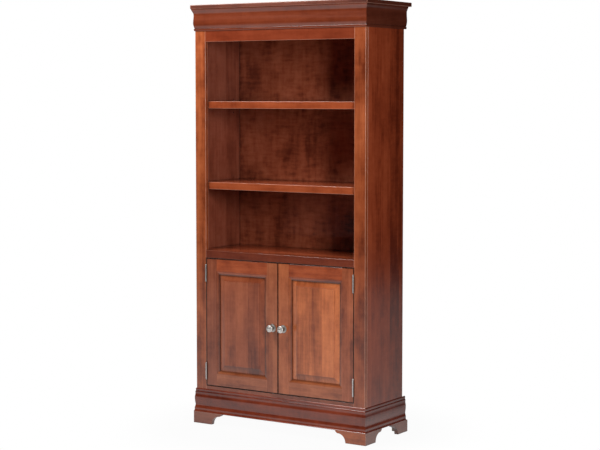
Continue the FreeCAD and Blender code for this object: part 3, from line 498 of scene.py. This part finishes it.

# Doors: stiles and rails picked for their grain, panels glued up from narrow boards
# The doors' edges take painted shade, as shade falls into the gaps round them
DOOR_EDGE = {"edge": SHADE_BROWN, "rub": 0.65, "reach": 0.0034, "blotch": 0.75, "streak": 0.6}
for hand, near, far, first, tones in (
    ("left", "hinge", "lock", 61, ((146, 72, 44), (162, 84, 50), (170, 78, 42), (168, 90, 56))),
    ("right", "lock", "hinge", 71, ((170, 88, 54), (180, 94, 54), (170, 78, 42), (178, 96, 58))),
):
    door = f"door_{hand}"
    stiles = (f"{door}_{near}_stile", f"{door}_{far}_stile")
    # Painted shade on each door's stiles and rails round its panel
    around = rim(*stiles, f"{door}_bottom_rail", f"{door}_top_rail", 0.01, 0.5)
    for number, name in enumerate(("hinge_stile", "lock_stile", "top_rail", "bottom_rail")):
        grain, across, joined = ("X", "Z", "X") if name.endswith("rail") else ("Z", "X", "")
        stain(f"{door}_{name}", tones[number], grain, across, first + number, joined=joined,
              **DOOR_EDGE, **around)
stain("door_left_panel", (168, 86, 53), "Z", "X", 101, width=0.07, contrast=0.25, rub=0)
stain("door_right_panel", (214, 118, 69), "Z", "X", 7, width=0.07, contrast=0.32, rub=0)


# ---- metal and plastic ----------------------------------------------------------------
NICKEL = (0.86, 0.82, 0.78, 1)
STEEL = (0.86, 0.81, 0.79, 1)
ZINC = (0.62, 0.63, 0.65, 1)
# Tarnish in the ring on a knob's face, and the colour of the painted shade on metal
TARNISH_AND_SHADE = (0.07, 0.065, 0.05, 1)
TOOL_RELIEF = 0.00005
HINGE_PIN_OUT = 0.4068
# On a knob, from its seat on the door: the ring on its face, and two places along its axis
KNOB_GROOVE_RADIUS = 0.0105
KNOB_HEAD_BACK, KNOB_NECK = -0.0235, -0.018


def metal(name, colour, roughness, brush, centre=None, behind=0.0, pin_out=None):
    """Metal with fine tool marks: rings about a centre, or lines along Z without one. It has
    tarnished in the ring on a knob's face. Painted shade darkens it behind a knob's head, by
    the share behind, and on the flanks of a hinge's barrel, which is pin_out metres from the
    middle of the case, and in its inside corners."""
    material, tree, shader, where = start_material(name)
    place = where.outputs["Object"]
    if centre is None:
        marks = drawn_noise(tree, place, 900, 40)
        tarnish_and_shade = 0.0
        # Painted shade on the flanks of a hinge's barrel, which leaves a bright line down its
        # middle
        if pin_out:
            x = calc(tree, "ABSOLUTE", split(tree, place)[0])
            flank = calc(tree, "ABSOLUTE", calc(tree, "SUBTRACT", x, pin_out))
            tarnish_and_shade = ramp(tree, flank, 0.0014, 0.0028, 0.0, 0.72)
    else:
        x, y, z = split(tree, vector_calc(tree, "SUBTRACT", place, centre))
        radius = length_of(tree, x, z)
        marks = noise_along(tree, calc(tree, "MULTIPLY", radius, 2600.0))
        groove = calc(tree, "ABSOLUTE", calc(tree, "SUBTRACT", radius, KNOB_GROOVE_RADIUS))
        groove = ramp(tree, groove, 0.0005, 0.0015, 0.6, 0.0)
        # Painted shade behind a knob's head: over its neck and the whole rosette
        shaded = ramp(tree, y, KNOB_HEAD_BACK, KNOB_NECK, 0.0, behind)
        tarnish_and_shade = calc(tree, "MAXIMUM", groove, shaded)
    smudge = noise(tree, place, 160.0, 3.0, 0.6)
    smudged = tuple(c * 0.8 for c in colour[:3]) + (1,)
    shade = mix(tree, ramp(tree, smudge, 0.35, 0.7), colour, smudged)
    # Painted shade in the metal's inside corners
    corner_shade = place_group(tree, CORNER_SHADE)["Depth"]
    tarnish_and_shade = calc(tree, "MAXIMUM", calc(tree, "MULTIPLY", corner_shade, 0.6), tarnish_and_shade)
    shade = mix(tree, tarnish_and_shade, shade, TARNISH_AND_SHADE)
    feed(tree, shade, shader.inputs["Base Color"])
    feed(tree, calc(tree, "MULTIPLY_ADD", marks, brush, roughness), shader.inputs["Roughness"])
    shader.inputs["Metallic"].default_value = 1.0
    raise_bump(tree, marks, shader, TOOL_RELIEF)
    return material


def catch_plastic():
    material, tree, shader, where = start_material("Brown catch plastic")
    grainy = noise(tree, where.outputs["Object"], 1500.0)
    colour = mix(tree, grainy, srgb(64, 46, 34), srgb(92, 68, 50))
    feed(tree, colour, shader.inputs["Base Color"])
    feed(tree, calc(tree, "MULTIPLY_ADD", grainy, 0.15, 0.4), shader.inputs["Roughness"])
    raise_bump(tree, grainy, shader, 0.0001)
    return material


steel = metal("Satin hinge steel", STEEL, 0.32, 0.14, pin_out=HINGE_PIN_OUT)
zinc = metal("Zinc plate", ZINC, 0.32, 0.14)
for node in ("case_hinge_leaves", "hinge_pins"):
    finish(node, steel)
finish("shelf_pins", zinc)
finish("magnetic_catches", catch_plastic())
for door in ("door_left", "door_right"):
    finish(f"{door}_hinge_leaves", steel)
    finish(f"{door}_strike", zinc)
    finish(f"{door}_knob_screw", zinc)


# ---- pieces made here -----------------------------------------------------------------
def keep(name, mesh, body, slot, *stands_for):
    """Puts a finished mesh on its body, for the CAD nodes it stands for, which it hides. slot is
    not used.
    """
    piece = bpy.data.objects.new(name, mesh)
    SCENE.collection.objects.link(piece)
    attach(piece, body)
    if stands_for:
        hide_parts(*stands_for)


def to_mesh(shape, name, material):
    """Turns a bmesh into a plain mesh with its faces outwards."""
    bmesh.ops.recalc_face_normals(shape, faces=shape.faces)
    mesh = bpy.data.meshes.new(name)
    shape.to_mesh(mesh)
    shape.free()
    mesh.materials.append(material)
    return mesh


def grow(name, seed_mesh, tree, **values):
    """Runs a Geometry Nodes tree on a mesh and keeps the plain mesh that comes out. The
    tree's inputs are named here with _ for each space."""
    carrier = bpy.data.objects.new(name, seed_mesh)
    SCENE.collection.objects.link(carrier)
    modifier = carrier.modifiers.new("grow", "NODES")
    modifier.node_group = tree
    sockets = {item.name: item.identifier for item in tree.interface.items_tree}
    for label, value in values.items():
        modifier[sockets[label.replace("_", " ")]] = value
    ready = carrier.evaluated_get(bpy.context.evaluated_depsgraph_get())
    mesh = bpy.data.meshes.new_from_object(ready)
    mesh.name = name
    carrier.modifiers.remove(modifier)
    bpy.data.objects.remove(carrier)
    return mesh


def finish_tree(tree, geometry, material):
    """Ends a tree: real geometry, coated with one material."""
    real = tree.nodes.new("GeometryNodeRealizeInstances")
    feed(tree, geometry, real.inputs[0])
    coated = tree.nodes.new("GeometryNodeSetMaterial")
    feed(tree, real.outputs[0], coated.inputs["Geometry"])
    feed(tree, material, coated.inputs["Material"])
    feed(tree, coated.outputs[0], tree.nodes.new("NodeGroupOutput").inputs[0])


def grow_tree(name, inputs, makes):
    """An empty Geometry Nodes tree with its named inputs, as (tree, what it is given)."""
    tree = bpy.data.node_groups.new(name, "GeometryNodeTree")
    for label, kind in inputs:
        tree.interface.new_socket(label, in_out="INPUT", socket_type=f"NodeSocket{kind}")
    tree.interface.new_socket(makes, in_out="OUTPUT", socket_type="NodeSocketGeometry")
    return tree, tree.nodes.new("NodeGroupInput").outputs


# A moulding's outline in millimetres: (out from the case, down from its own top). Each
# line is one curve, and the corners between the curves stay sharp.
CROWN = [
    [(0.0, 0.0)], [(13.5, 0.0)], [(13.5, 3.2)],
    [(13.0, 3.4), (12.0, 6.5), (10.0, 11.0), (7.7, 16.0), (6.0, 20.5), (5.2, 25.0), (5.0, 31.0),
     (5.2, 38.0), (5.7, 46.0), (6.3, 54.0), (6.7, 61.0), (6.7, 67.0), (6.1, 73.0), (5.0, 79.0),
     (3.4, 85.0), (1.9, 89.8), (1.5, 91.6)],
    [(4.05, 91.8), (4.35, 93.4), (4.3, 95.5), (3.9, 98.5), (3.3, 101.0), (2.9, 102.0)],
    [(0.0, 102.0)],
]
BASE = [
    [(0.0, 0.0)],
    [(0.4, 0.0), (1.2, 0.6), (2.2, 1.7), (2.9, 2.9), (3.2, 4.4), (3.3, 7.0), (3.1, 10.5),
     (2.6, 12.9)],
    [(2.2, 13.2), (2.9, 13.6), (3.9, 14.7), (4.6, 16.0), (5.0, 17.8), (5.1, 20.0), (4.9, 22.5),
     (4.7, 25.0), (4.8, 28.5), (5.3, 32.5), (6.1, 37.0), (6.8, 41.5), (7.0, 46.0), (7.0, 51.0),
     (6.6, 58.0), (5.8, 66.0), (4.9, 73.0), (4.3, 79.0), (4.6, 83.0), (5.7, 88.0), (6.7, 91.8)],
    [(7.1, 92.6), (7.5, 95.5), (7.6, 99.0), (7.3, 103.0)],
    [(7.5, 103.6), (8.0, 106.5), (9.1, 109.5), (10.5, 111.2)],
    [(10.5, 113.0)], [(0.0, 113.0)],
]


def smooth_curve(points, steps=4):
    """A curve that passes smoothly through its points, in so many steps between two."""
    curve = [points[0]]
    for index in range(len(points) - 1):
        before = points[max(index - 1, 0)]
        start, end = points[index], points[index + 1]
        after = points[min(index + 2, len(points) - 1)]
        for step in range(1, steps + 1):
            u = step / steps
            curve.append(tuple(
                0.5 * (2 * b + (c - a) * u + (2 * a - 5 * b + 4 * c - d) * u * u
                       + (3 * b - a - 3 * c + d) * u ** 3)
                for a, b, c, d in zip(before, start, end, after)
            ))
    return curve


WELD_DISTANCE = 0.000005
# A moulding's edges sharper than this stay crisp
MOULDING_CREASE = math.radians(28)


def moulding_runner():
    """Runs an outline along X for its length, closes both ends, and then turns and places
    the run. A mitre of 1 cuts that end at 45 degrees."""
    tree, given = grow_tree(
        "Moulding run",
        (("Outline", "Geometry"), ("Length", "Float"), ("Near mitre", "Float"),
         ("Far mitre", "Float"), ("Turn", "Float"), ("Place", "Vector"), ("Finish", "Material")),
        "Moulding",
    )
    run = tree.nodes.new("GeometryNodeExtrudeMesh")
    run.mode = "FACES"
    run.inputs["Individual"].default_value = False
    feed(tree, given["Outline"], run.inputs["Mesh"])
    feed(tree, join(tree, given["Length"], 0.0, 0.0), run.inputs["Offset"])
    near_end = tree.nodes.new("GeometryNodeFlipFaces")
    feed(tree, given["Outline"], near_end.inputs["Mesh"])
    both = tree.nodes.new("GeometryNodeJoinGeometry")
    feed(tree, run.outputs["Mesh"], both.inputs[0])
    feed(tree, near_end.outputs[0], both.inputs[0])
    closed = tree.nodes.new("GeometryNodeMergeByDistance")
    feed(tree, both.outputs[0], closed.inputs["Geometry"])
    closed.inputs["Distance"].default_value = WELD_DISTANCE
    x, y, _ = split(tree, tree.nodes.new("GeometryNodeInputPosition").outputs[0])
    far = calc(tree, "DIVIDE", x, given["Length"])
    near = calc(tree, "SUBTRACT", 1.0, far)
    cut = calc(tree, "SUBTRACT", calc(tree, "MULTIPLY", near, given["Near mitre"]),
               calc(tree, "MULTIPLY", far, given["Far mitre"]))
    mitred = tree.nodes.new("GeometryNodeSetPosition")
    feed(tree, closed.outputs[0], mitred.inputs["Geometry"])
    feed(tree, join(tree, calc(tree, "MULTIPLY", y, cut), 0.0, 0.0), mitred.inputs["Offset"])
    fitted = tree.nodes.new("GeometryNodeTransform")
    feed(tree, mitred.outputs[0], fitted.inputs["Geometry"])
    feed(tree, given["Place"], fitted.inputs["Translation"])
    feed(tree, join(tree, 0.0, 0.0, given["Turn"]), fitted.inputs["Rotation"])
    finish_tree(tree, fitted.outputs[0], given["Finish"])
    return tree


MOULDING_RUN = moulding_runner()


def run_moulding(node, outline, top, place, turn, length, mitres, slot, material):
    """Makes one length of moulding in place of a packed one."""
    line = [(0.0, -reach / 1000, top - drop / 1000)
            for curve in outline for reach, drop in smooth_curve(curve)]
    end = bpy.data.meshes.new(f"{node}_outline")
    end.from_pydata(line, [], [range(len(line))])
    mesh = grow(
        f"run_{node}", end, MOULDING_RUN, Length=length, Near_mitre=mitres[0],
        Far_mitre=mitres[1], Turn=math.radians(turn), Place=place, Finish=material,
    )
    shape = bmesh.new()
    shape.from_mesh(mesh)
    mesh = to_mesh(shape, f"run_{node}", material)
    mesh.shade_smooth()
    mesh.set_sharp_from_angle(angle=MOULDING_CREASE)
    keep(f"run_{node}", mesh, "case", slot, node)


# The case's right side and the front of its face frame, which the mouldings run along
SIDE_FACE, FRONT_FACE = 0.467, -0.1735
# The crown's sides take darker tones than its front: painted shade, as less light falls on them
for node, outline, slot, tones, gloss, first in (
    ("crown", CROWN, "crown_wood", ((118, 50, 27), (96, 44, 28), (92, 41, 27)), (1, 0.3, 0.3), 32),
    ("base_moulding", BASE, "base_wood", ((146, 62, 38), (146, 62, 38), (128, 56, 40)),
     (0.7, 0.7, 0.6), 35),
):
    for number, hand in enumerate(("front", "left", "right")):
        piece = f"{node}_{hand}"
        low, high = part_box(piece)
        grain = "X" if hand == "front" else "Y"
        material = wood(f"Maple {node} {hand}", srgb(*tones[number]), grain, "Z", first + number,
                        (low, high), rub=0, gloss=gloss[number])
        back, depth = high.y, high.y - FRONT_FACE
        place, turn, length, mitres = {
            "front": ((-SIDE_FACE, FRONT_FACE, 0), 0, 2 * SIDE_FACE, (1.0, 1.0)),
            "left": ((-SIDE_FACE, back, 0), -90, depth, (0.0, 1.0)),
            "right": ((SIDE_FACE, FRONT_FACE, 0), 90, depth, (1.0, 0.0)),
        }[hand]
        run_moulding(piece, outline, high.z, place, turn, length, mitres, slot, material)


# Each line is (millimetres in front of the door, radius)
ROSETTE = [
    (0.0, 2.1), (0.0, 18.5), (0.8, 18.5), (1.1, 18.4), (1.3, 18.1), (1.4, 17.7), (1.35, 17.3),
    (1.45, 16.7), (1.7, 15.8), (2.1, 14.8), (2.6, 13.9), (3.05, 13.2), (3.3, 12.7), (3.4, 12.2),
    (3.4, 2.1), (0.0, 2.1),
]
KNOB = [
    (14.4, 0.0), (14.4, 2.0), (3.4, 2.0), (3.4, 8.4), (4.3, 8.5), (4.8, 8.3), (5.1, 7.9),
    (5.6, 7.2), (6.6, 6.5), (8.2, 5.9), (10.5, 5.5), (13.5, 5.3), (16.0, 5.4), (18.0, 6.1),
    (19.8, 7.6), (21.4, 9.8), (22.8, 12.4), (23.7, 14.6), (24.1, 15.7), (24.6, 16.1),
    (25.2, 16.2), (26.1, 16.0), (27.0, 15.6), (27.9, 14.9), (28.6, 14.0), (29.1, 13.1),
    (29.5, 12.3), (29.6, 11.8), (29.5, 11.4), (29.1, 11.0), (28.7, 10.7), (28.6, 10.3),
    (28.8, 9.9), (29.5, 8.9), (30.3, 7.4), (31.0, 5.6), (31.5, 3.8), (31.9, 1.9), (32.0, 0.0),
]
TURNING_STEPS = 72
TURNING_CREASE = math.radians(38)


def turned(name, outline, centre, material):
    """An outline turned about the knob's axis. One that ends where it starts has a hole."""
    shape = bmesh.new()
    ring_shaped = outline[0] == outline[-1]
    rings = []
    for reach, radius in outline[:-1] if ring_shaped else outline:
        ring = []
        for step in range(TURNING_STEPS if radius else 1):
            angle = math.tau * step / TURNING_STEPS
            x, z = math.cos(angle) * radius, math.sin(angle) * radius
            ring.append(shape.verts.new(centre + Vector((x, -reach, z)) / 1000))
        rings.append(ring)
    if ring_shaped:
        rings.append(rings[0])
    for near, far in zip(rings, rings[1:]):
        for step in range(TURNING_STEPS):
            following = (step + 1) % TURNING_STEPS
            corners = (near[step % len(near)], near[following % len(near)],
                       far[following % len(far)], far[step % len(far)])
            shape.faces.new(dict.fromkeys(corners))
    mesh = to_mesh(shape, name, material)
    mesh.shade_smooth()
    mesh.set_sharp_from_angle(angle=TURNING_CREASE)
    return mesh


for hand in ("left", "right"):
    low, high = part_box(f"door_{hand}_rosette")
    seat = Vector(((low.x + high.x) / 2, high.y, (low.z + high.z) / 2))
    # behind is the share of painted shade behind the knob's head
    for part, outline, behind in (("rosette", ROSETTE, 0.5), ("knob", KNOB, 0.9)):
        nickel = metal(f"Brushed nickel {part} {hand}", NICKEL, 0.42, 0.12, seat, behind)
        name = f"turned_{part}_{hand}"
        mesh = turned(name, outline, seat, nickel)
        keep(name, mesh, f"door_{hand}", "nickel", f"door_{hand}_{part}")


HEAD_SIDES = 20


def screw_head(material):
    """A cross-recessed head of radius 1 and height 1, standing on Z = 0."""
    shape = bmesh.new()

    def loop(outline, size, height):
        return [shape.verts.new((x * size, y * size, height)) for x, y in outline]

    def wall(lower, upper):
        count = len(lower)
        for k in range(count):
            shape.faces.new((lower[k], lower[k - 1], upper[k - 1], upper[k]))

    angles = [math.tau * k / HEAD_SIDES for k in range(HEAD_SIDES)]
    circle = [(math.cos(angle), math.sin(angle)) for angle in angles]
    arm = ((0.6, -0.13), (0.6, 0.13), (0.13, 0.13))
    cross = [(x * c - y * s, x * s + y * c)
             for c, s in ((1, 0), (0, 1), (-1, 0), (0, -1)) for x, y in arm]
    foot, edge, crown = loop(circle, 1.0, -0.2), loop(circle, 1.0, 0.4), loop(circle, 0.76, 1.0)
    mouth, pit = loop(cross, 1.0, 1.0), loop(cross, 0.75, 0.15)
    wall(foot, edge)
    wall(edge, crown)
    wall(pit, mouth)
    shape.faces.new(foot)
    bottom = shape.faces.new(pit)
    rings = [shape.edges.get((ring[k], ring[k - 1]))
             for ring in (crown, mouth) for k in range(len(ring))]
    bmesh.ops.triangle_fill(shape, edges=rings, use_beauty=True)
    bmesh.ops.triangulate(shape, faces=[bottom])
    return to_mesh(shape, "screw_head", material)


def screw_setter():
    """Sets a head on each point, with the facing and the size that the point carries, and
    its cross stopped at a turn of its own."""
    tree, given = grow_tree(
        "Driven screws",
        (("Points", "Geometry"), ("Head", "Object"), ("Finish", "Material"),
         ("Full turn", "Float"), ("Seed", "Int")),
        "Screws",
    )

    def carried(label):
        node = tree.nodes.new("GeometryNodeInputNamedAttribute")
        node.data_type = "FLOAT_VECTOR"
        node.inputs["Name"].default_value = label
        return node.outputs["Attribute"]

    head = tree.nodes.new("GeometryNodeObjectInfo")
    feed(tree, given["Head"], head.inputs["Object"])
    faced = tree.nodes.new("FunctionNodeAlignRotationToVector")
    faced.axis = "Z"
    feed(tree, carried("facing"), faced.inputs["Vector"])
    turn = tree.nodes.new("FunctionNodeRandomValue")
    turn.data_type = "FLOAT"
    feed(tree, given["Full turn"], turn.inputs[3])
    feed(tree, given["Seed"], turn.inputs["Seed"])
    driven = tree.nodes.new("FunctionNodeAxisAngleToRotation")
    driven.inputs["Axis"].default_value = (0, 0, 1)
    feed(tree, turn.outputs[1], driven.inputs["Angle"])
    both = tree.nodes.new("FunctionNodeRotateRotation")
    both.rotation_space = "LOCAL"
    feed(tree, faced.outputs[0], both.inputs[0])
    feed(tree, driven.outputs[0], both.inputs[1])
    placed = tree.nodes.new("GeometryNodeInstanceOnPoints")
    feed(tree, given["Points"], placed.inputs["Points"])
    feed(tree, head.outputs["Geometry"], placed.inputs["Instance"])
    feed(tree, both.outputs[0], placed.inputs["Rotation"])
    feed(tree, carried("size"), placed.inputs["Scale"])
    finish_tree(tree, placed.outputs[0], given["Finish"])
    return tree


DRIVEN = screw_setter()
loose_head = bpy.data.objects.new("loose_screw_head", screw_head(zinc))
SCENE.collection.objects.link(loose_head)


def drive_screws(name, body, rows, seed):
    """rows holds (place, facing, head radius, head height), in metres."""
    points = bpy.data.meshes.new(f"{name}_points")
    points.from_pydata([place for place, *_ in rows], [], [])
    facing = points.attributes.new("facing", "FLOAT_VECTOR", "POINT")
    size = points.attributes.new("size", "FLOAT_VECTOR", "POINT")
    for index, (_, way, radius, height) in enumerate(rows):
        facing.data[index].vector = way
        size.data[index].vector = (radius, radius, height)
    mesh = grow(
        name, points, DRIVEN, Head=loose_head, Finish=zinc, Full_turn=math.tau, Seed=seed
    )
    keep(name, mesh, body, "zinc_steel")


# Heads are (radius, height). Hinge leaves: their lower ends, their holes (above that end,
# behind the front), and how far out from the middle of the case their faces lie
LEAF_HEAD = (0.003, 0.0002)
LEAF_FEET = (0.2165, 0.684)
LEAF_HOLES = ((0.012, 0.0115), (0.038, 0.0055), (0.064, 0.0115))
CASE_LEAF, DOOR_LEAF = 0.408, 0.4056
# Strikes: their faces, their holes out from the middle, and the height of both holes
STRIKE_HEAD = (0.0026, 0.0002)
STRIKE_FACE, STRIKE_HOLES, STRIKE_HEIGHT = -0.1521, (0.023, 0.047), 0.78
# The back: its face, a row up each side, and a row along each board that it is screwed to
BACK_HEAD = (0.0034, 0.0013)
BACK_FACE, BACK_SPACING = 0.1645, 0.15
SIDE_ROW_OUT, SIDE_ROW_FOOT, SIDE_ROW_COUNT = 0.452, 0.1, 13
BOARD_ROW_HEIGHTS, BOARD_ROW_COUNT = (0.174, 0.8195, 1.9525), 6
BACKWARDS = (0, 1, 0)

case_rows = []
for hand, side in (("left", -1), ("right", 1)):
    door_rows = []
    for foot in LEAF_FEET:
        for rise, set_back in LEAF_HOLES:
            place = (FRONT_FACE + set_back, foot + rise)
            case_rows.append(((side * CASE_LEAF, *place), (-side, 0, 0), *LEAF_HEAD))
            door_rows.append(((side * DOOR_LEAF, *place), (side, 0, 0), *LEAF_HEAD))
    for x in STRIKE_HOLES:
        door_rows.append(((side * x, STRIKE_FACE, STRIKE_HEIGHT), BACKWARDS, *STRIKE_HEAD))
    drive_screws(f"screws_door_{hand}", f"door_{hand}", door_rows, 3 + side)
    for step in range(SIDE_ROW_COUNT):
        place = (side * SIDE_ROW_OUT, BACK_FACE, SIDE_ROW_FOOT + step * BACK_SPACING)
        case_rows.append((place, BACKWARDS, *BACK_HEAD))
for height in BOARD_ROW_HEIGHTS:
    for step in range(BOARD_ROW_COUNT):
        place = ((step - (BOARD_ROW_COUNT - 1) / 2) * BACK_SPACING, BACK_FACE, height)
        case_rows.append((place, BACKWARDS, *BACK_HEAD))
drive_screws("screws_case", "case", case_rows, 9)
bpy.data.objects.remove(loose_head)


# ---- studio ---------------------------------------------------------------------------
def seen_straight(tree):
    """The light path, and 1 for rays that come straight from the lens or through glass."""
    ray = tree.nodes.new("ShaderNodeLightPath").outputs
    return ray, calc(tree, "MAXIMUM", ray["Is Camera Ray"], ray["Is Transmission Ray"])


def blend_surfaces(tree, share, first, second, output):
    """Wires a share of the second shader over the first into the material or the world."""
    blend = tree.nodes.new("ShaderNodeMixShader")
    for value, socket in zip((share, first, second), blend.inputs):
        feed(tree, value, socket)
    feed(tree, blend.outputs[0], tree.nodes[output].inputs["Surface"])


def flat_card(name, corners, material):
    """A flat sheet of the studio, which isn't part of the object."""
    mesh = bpy.data.meshes.new(name)
    mesh.from_pydata(corners, [], [range(len(corners))])
    mesh.materials.append(material)
    card = bpy.data.objects.new(name, mesh)
    SCENE.collection.objects.link(card)
    return card


def paper():
    """White paper: plain white to the lens and to gloss, with the object's soft shadow.
    Gloss sees it dimmer far off and behind the object, where less light reaches it."""
    material, tree, shader, where = start_material("White paper")
    shader.inputs["Base Color"].default_value = (0.4, 0.4, 0.4, 1)
    shader.inputs["Roughness"].default_value = 0.9
    shader.inputs["Specular IOR Level"].default_value = 0.0
    fibre = noise(tree, where.outputs["Object"], 300.0)
    raise_bump(tree, fibre, shader, 0.0002)
    white = tree.nodes.new("ShaderNodeEmission")
    x, y, _ = split(tree, where.outputs["Object"])
    away = length_of(tree, x, y)
    to_lens = ramp(tree, away, 0.45, 0.95, 0.96, 1.0)
    farther = ramp(tree, away, 0.5, 3.0, 1.0, 0.64)
    to_gloss = calc(tree, "MULTIPLY", farther, ramp(tree, y, -0.3, 0.9, 1.0, 0.5))
    ray, straight = seen_straight(tree)
    share = calc(tree, "MULTIPLY", straight, to_lens)
    share = calc(tree, "MULTIPLY_ADD", ray["Is Glossy Ray"], to_gloss, share)
    blend_surfaces(tree, share, shader.outputs[0], white.outputs[0], "Material Output")
    return material


def dark_cloth():
    """What gloss sees beyond the paper: a dark studio."""
    material, tree, shader, where = start_material("Dark studio cloth")
    weave = noise(tree, where.outputs["Object"], 40.0)
    feed(tree, mix(tree, weave, srgb(30, 28, 27), srgb(44, 40, 38)), shader.inputs["Base Color"])
    shader.inputs["Roughness"].default_value = 1.0
    return material


FLOOR_REACH = 30.0
FLOOR_UNDER_FEET = -0.0004
ROOM_REACH = 5.0
ROOM_HEIGHT = 4.2
square = [(-1, -1), (1, -1), (1, 1), (-1, 1)]
flat_card(
    "floor", [(x * FLOOR_REACH, y * FLOOR_REACH, FLOOR_UNDER_FEET) for x, y in square], paper()
)
cloth = dark_cloth()
walls = [[(*near, 0), (*far, 0), (*far, 1), (*near, 1)]
         for near, far in zip(square, square[1:] + square[:1])]
walls.append([(x, y, 1) for x, y in square])
for number, corners in enumerate(walls):
    card = flat_card(
        f"studio_{number}",
        [(x * ROOM_REACH, y * ROOM_REACH, z * ROOM_HEIGHT) for x, y, z in corners],
        cloth,
    )
    card.visible_camera = False
    card.visible_diffuse = False
    card.visible_transmission = False
    card.visible_shadow = False


CASE_MIDDLE = Vector((0, 0, 1))


def soft_box(name, azimuth, elevation, distance, width, height, watts):
    """A soft lamp aimed at the middle of the case. Azimuth 0 is straight in front."""
    lamp = bpy.data.lights.new(name, "AREA")
    lamp.shape = "RECTANGLE"
    lamp.size = width
    lamp.size_y = height
    lamp.energy = watts
    turn, rise = math.radians(azimuth), math.radians(elevation)
    away = Vector((
        math.sin(turn) * math.cos(rise),
        -math.cos(turn) * math.cos(rise),
        math.sin(rise),
    ))
    box = bpy.data.objects.new(name, lamp)
    box.location = CASE_MIDDLE + away * distance
    box.rotation_euler = away.to_track_quat("Z", "Y").to_euler()
    box.visible_camera = False
    SCENE.collection.objects.link(box)


soft_box("left_box", -38, 52, distance=2.7, width=1.3, height=1.3, watts=64)
soft_box("right_box", 51, 15, distance=3.2, width=0.45, height=1.2, watts=48)
soft_box("back_card", 200, 35, distance=3.6, width=2.0, height=1.5, watts=22)

# The world fills the shadows a little, and is white to the lens and to gloss
FILL_LIGHT = 0.035
world = bpy.data.worlds.new("Studio")
world.use_nodes = True
SCENE.world = world
tree = world.node_tree
soft = tree.nodes["Background"]
soft.inputs["Strength"].default_value = FILL_LIGHT
white = tree.nodes.new("ShaderNodeBackground")
white.inputs["Strength"].default_value = 1.0
for light in (soft, white):
    light.inputs["Color"].default_value = (1, 1, 1, 1)
ray, straight = seen_straight(tree)
share = calc(tree, "MAXIMUM", straight, ray["Is Glossy Ray"])
blend_surfaces(tree, share, soft.outputs[0], white.outputs[0], "World Output")
SCENE.view_settings.view_transform = "Standard"

# ---- camera ---------------------------------------------------------------------------
# The lens and its rise in pixels of an image of this width
IMAGE_WIDTH = 600
FOCAL_PIXELS = 1580.61
RISE_PIXELS = -12
SENSOR_WIDTH = 36.0
YAW, PITCH = math.radians(33.15), math.radians(-4.24)

camera_data = bpy.data.cameras.new("camera")
camera = bpy.data.objects.new("camera", camera_data)
SCENE.collection.objects.link(camera)
SCENE.camera = camera
camera_data.sensor_width = SENSOR_WIDTH
camera_data.lens = FOCAL_PIXELS / IMAGE_WIDTH * SENSOR_WIDTH
camera_data.shift_y = RISE_PIXELS / IMAGE_WIDTH
camera_data.clip_end = 200
ahead = Vector((
    -math.sin(YAW) * math.cos(PITCH),
    math.cos(YAW) * math.cos(PITCH),
    math.sin(PITCH),
))
camera.location = (4.0316, -6.1596, 1.5569)
camera.rotation_euler = ahead.to_track_quat("-Z", "Y").to_euler()
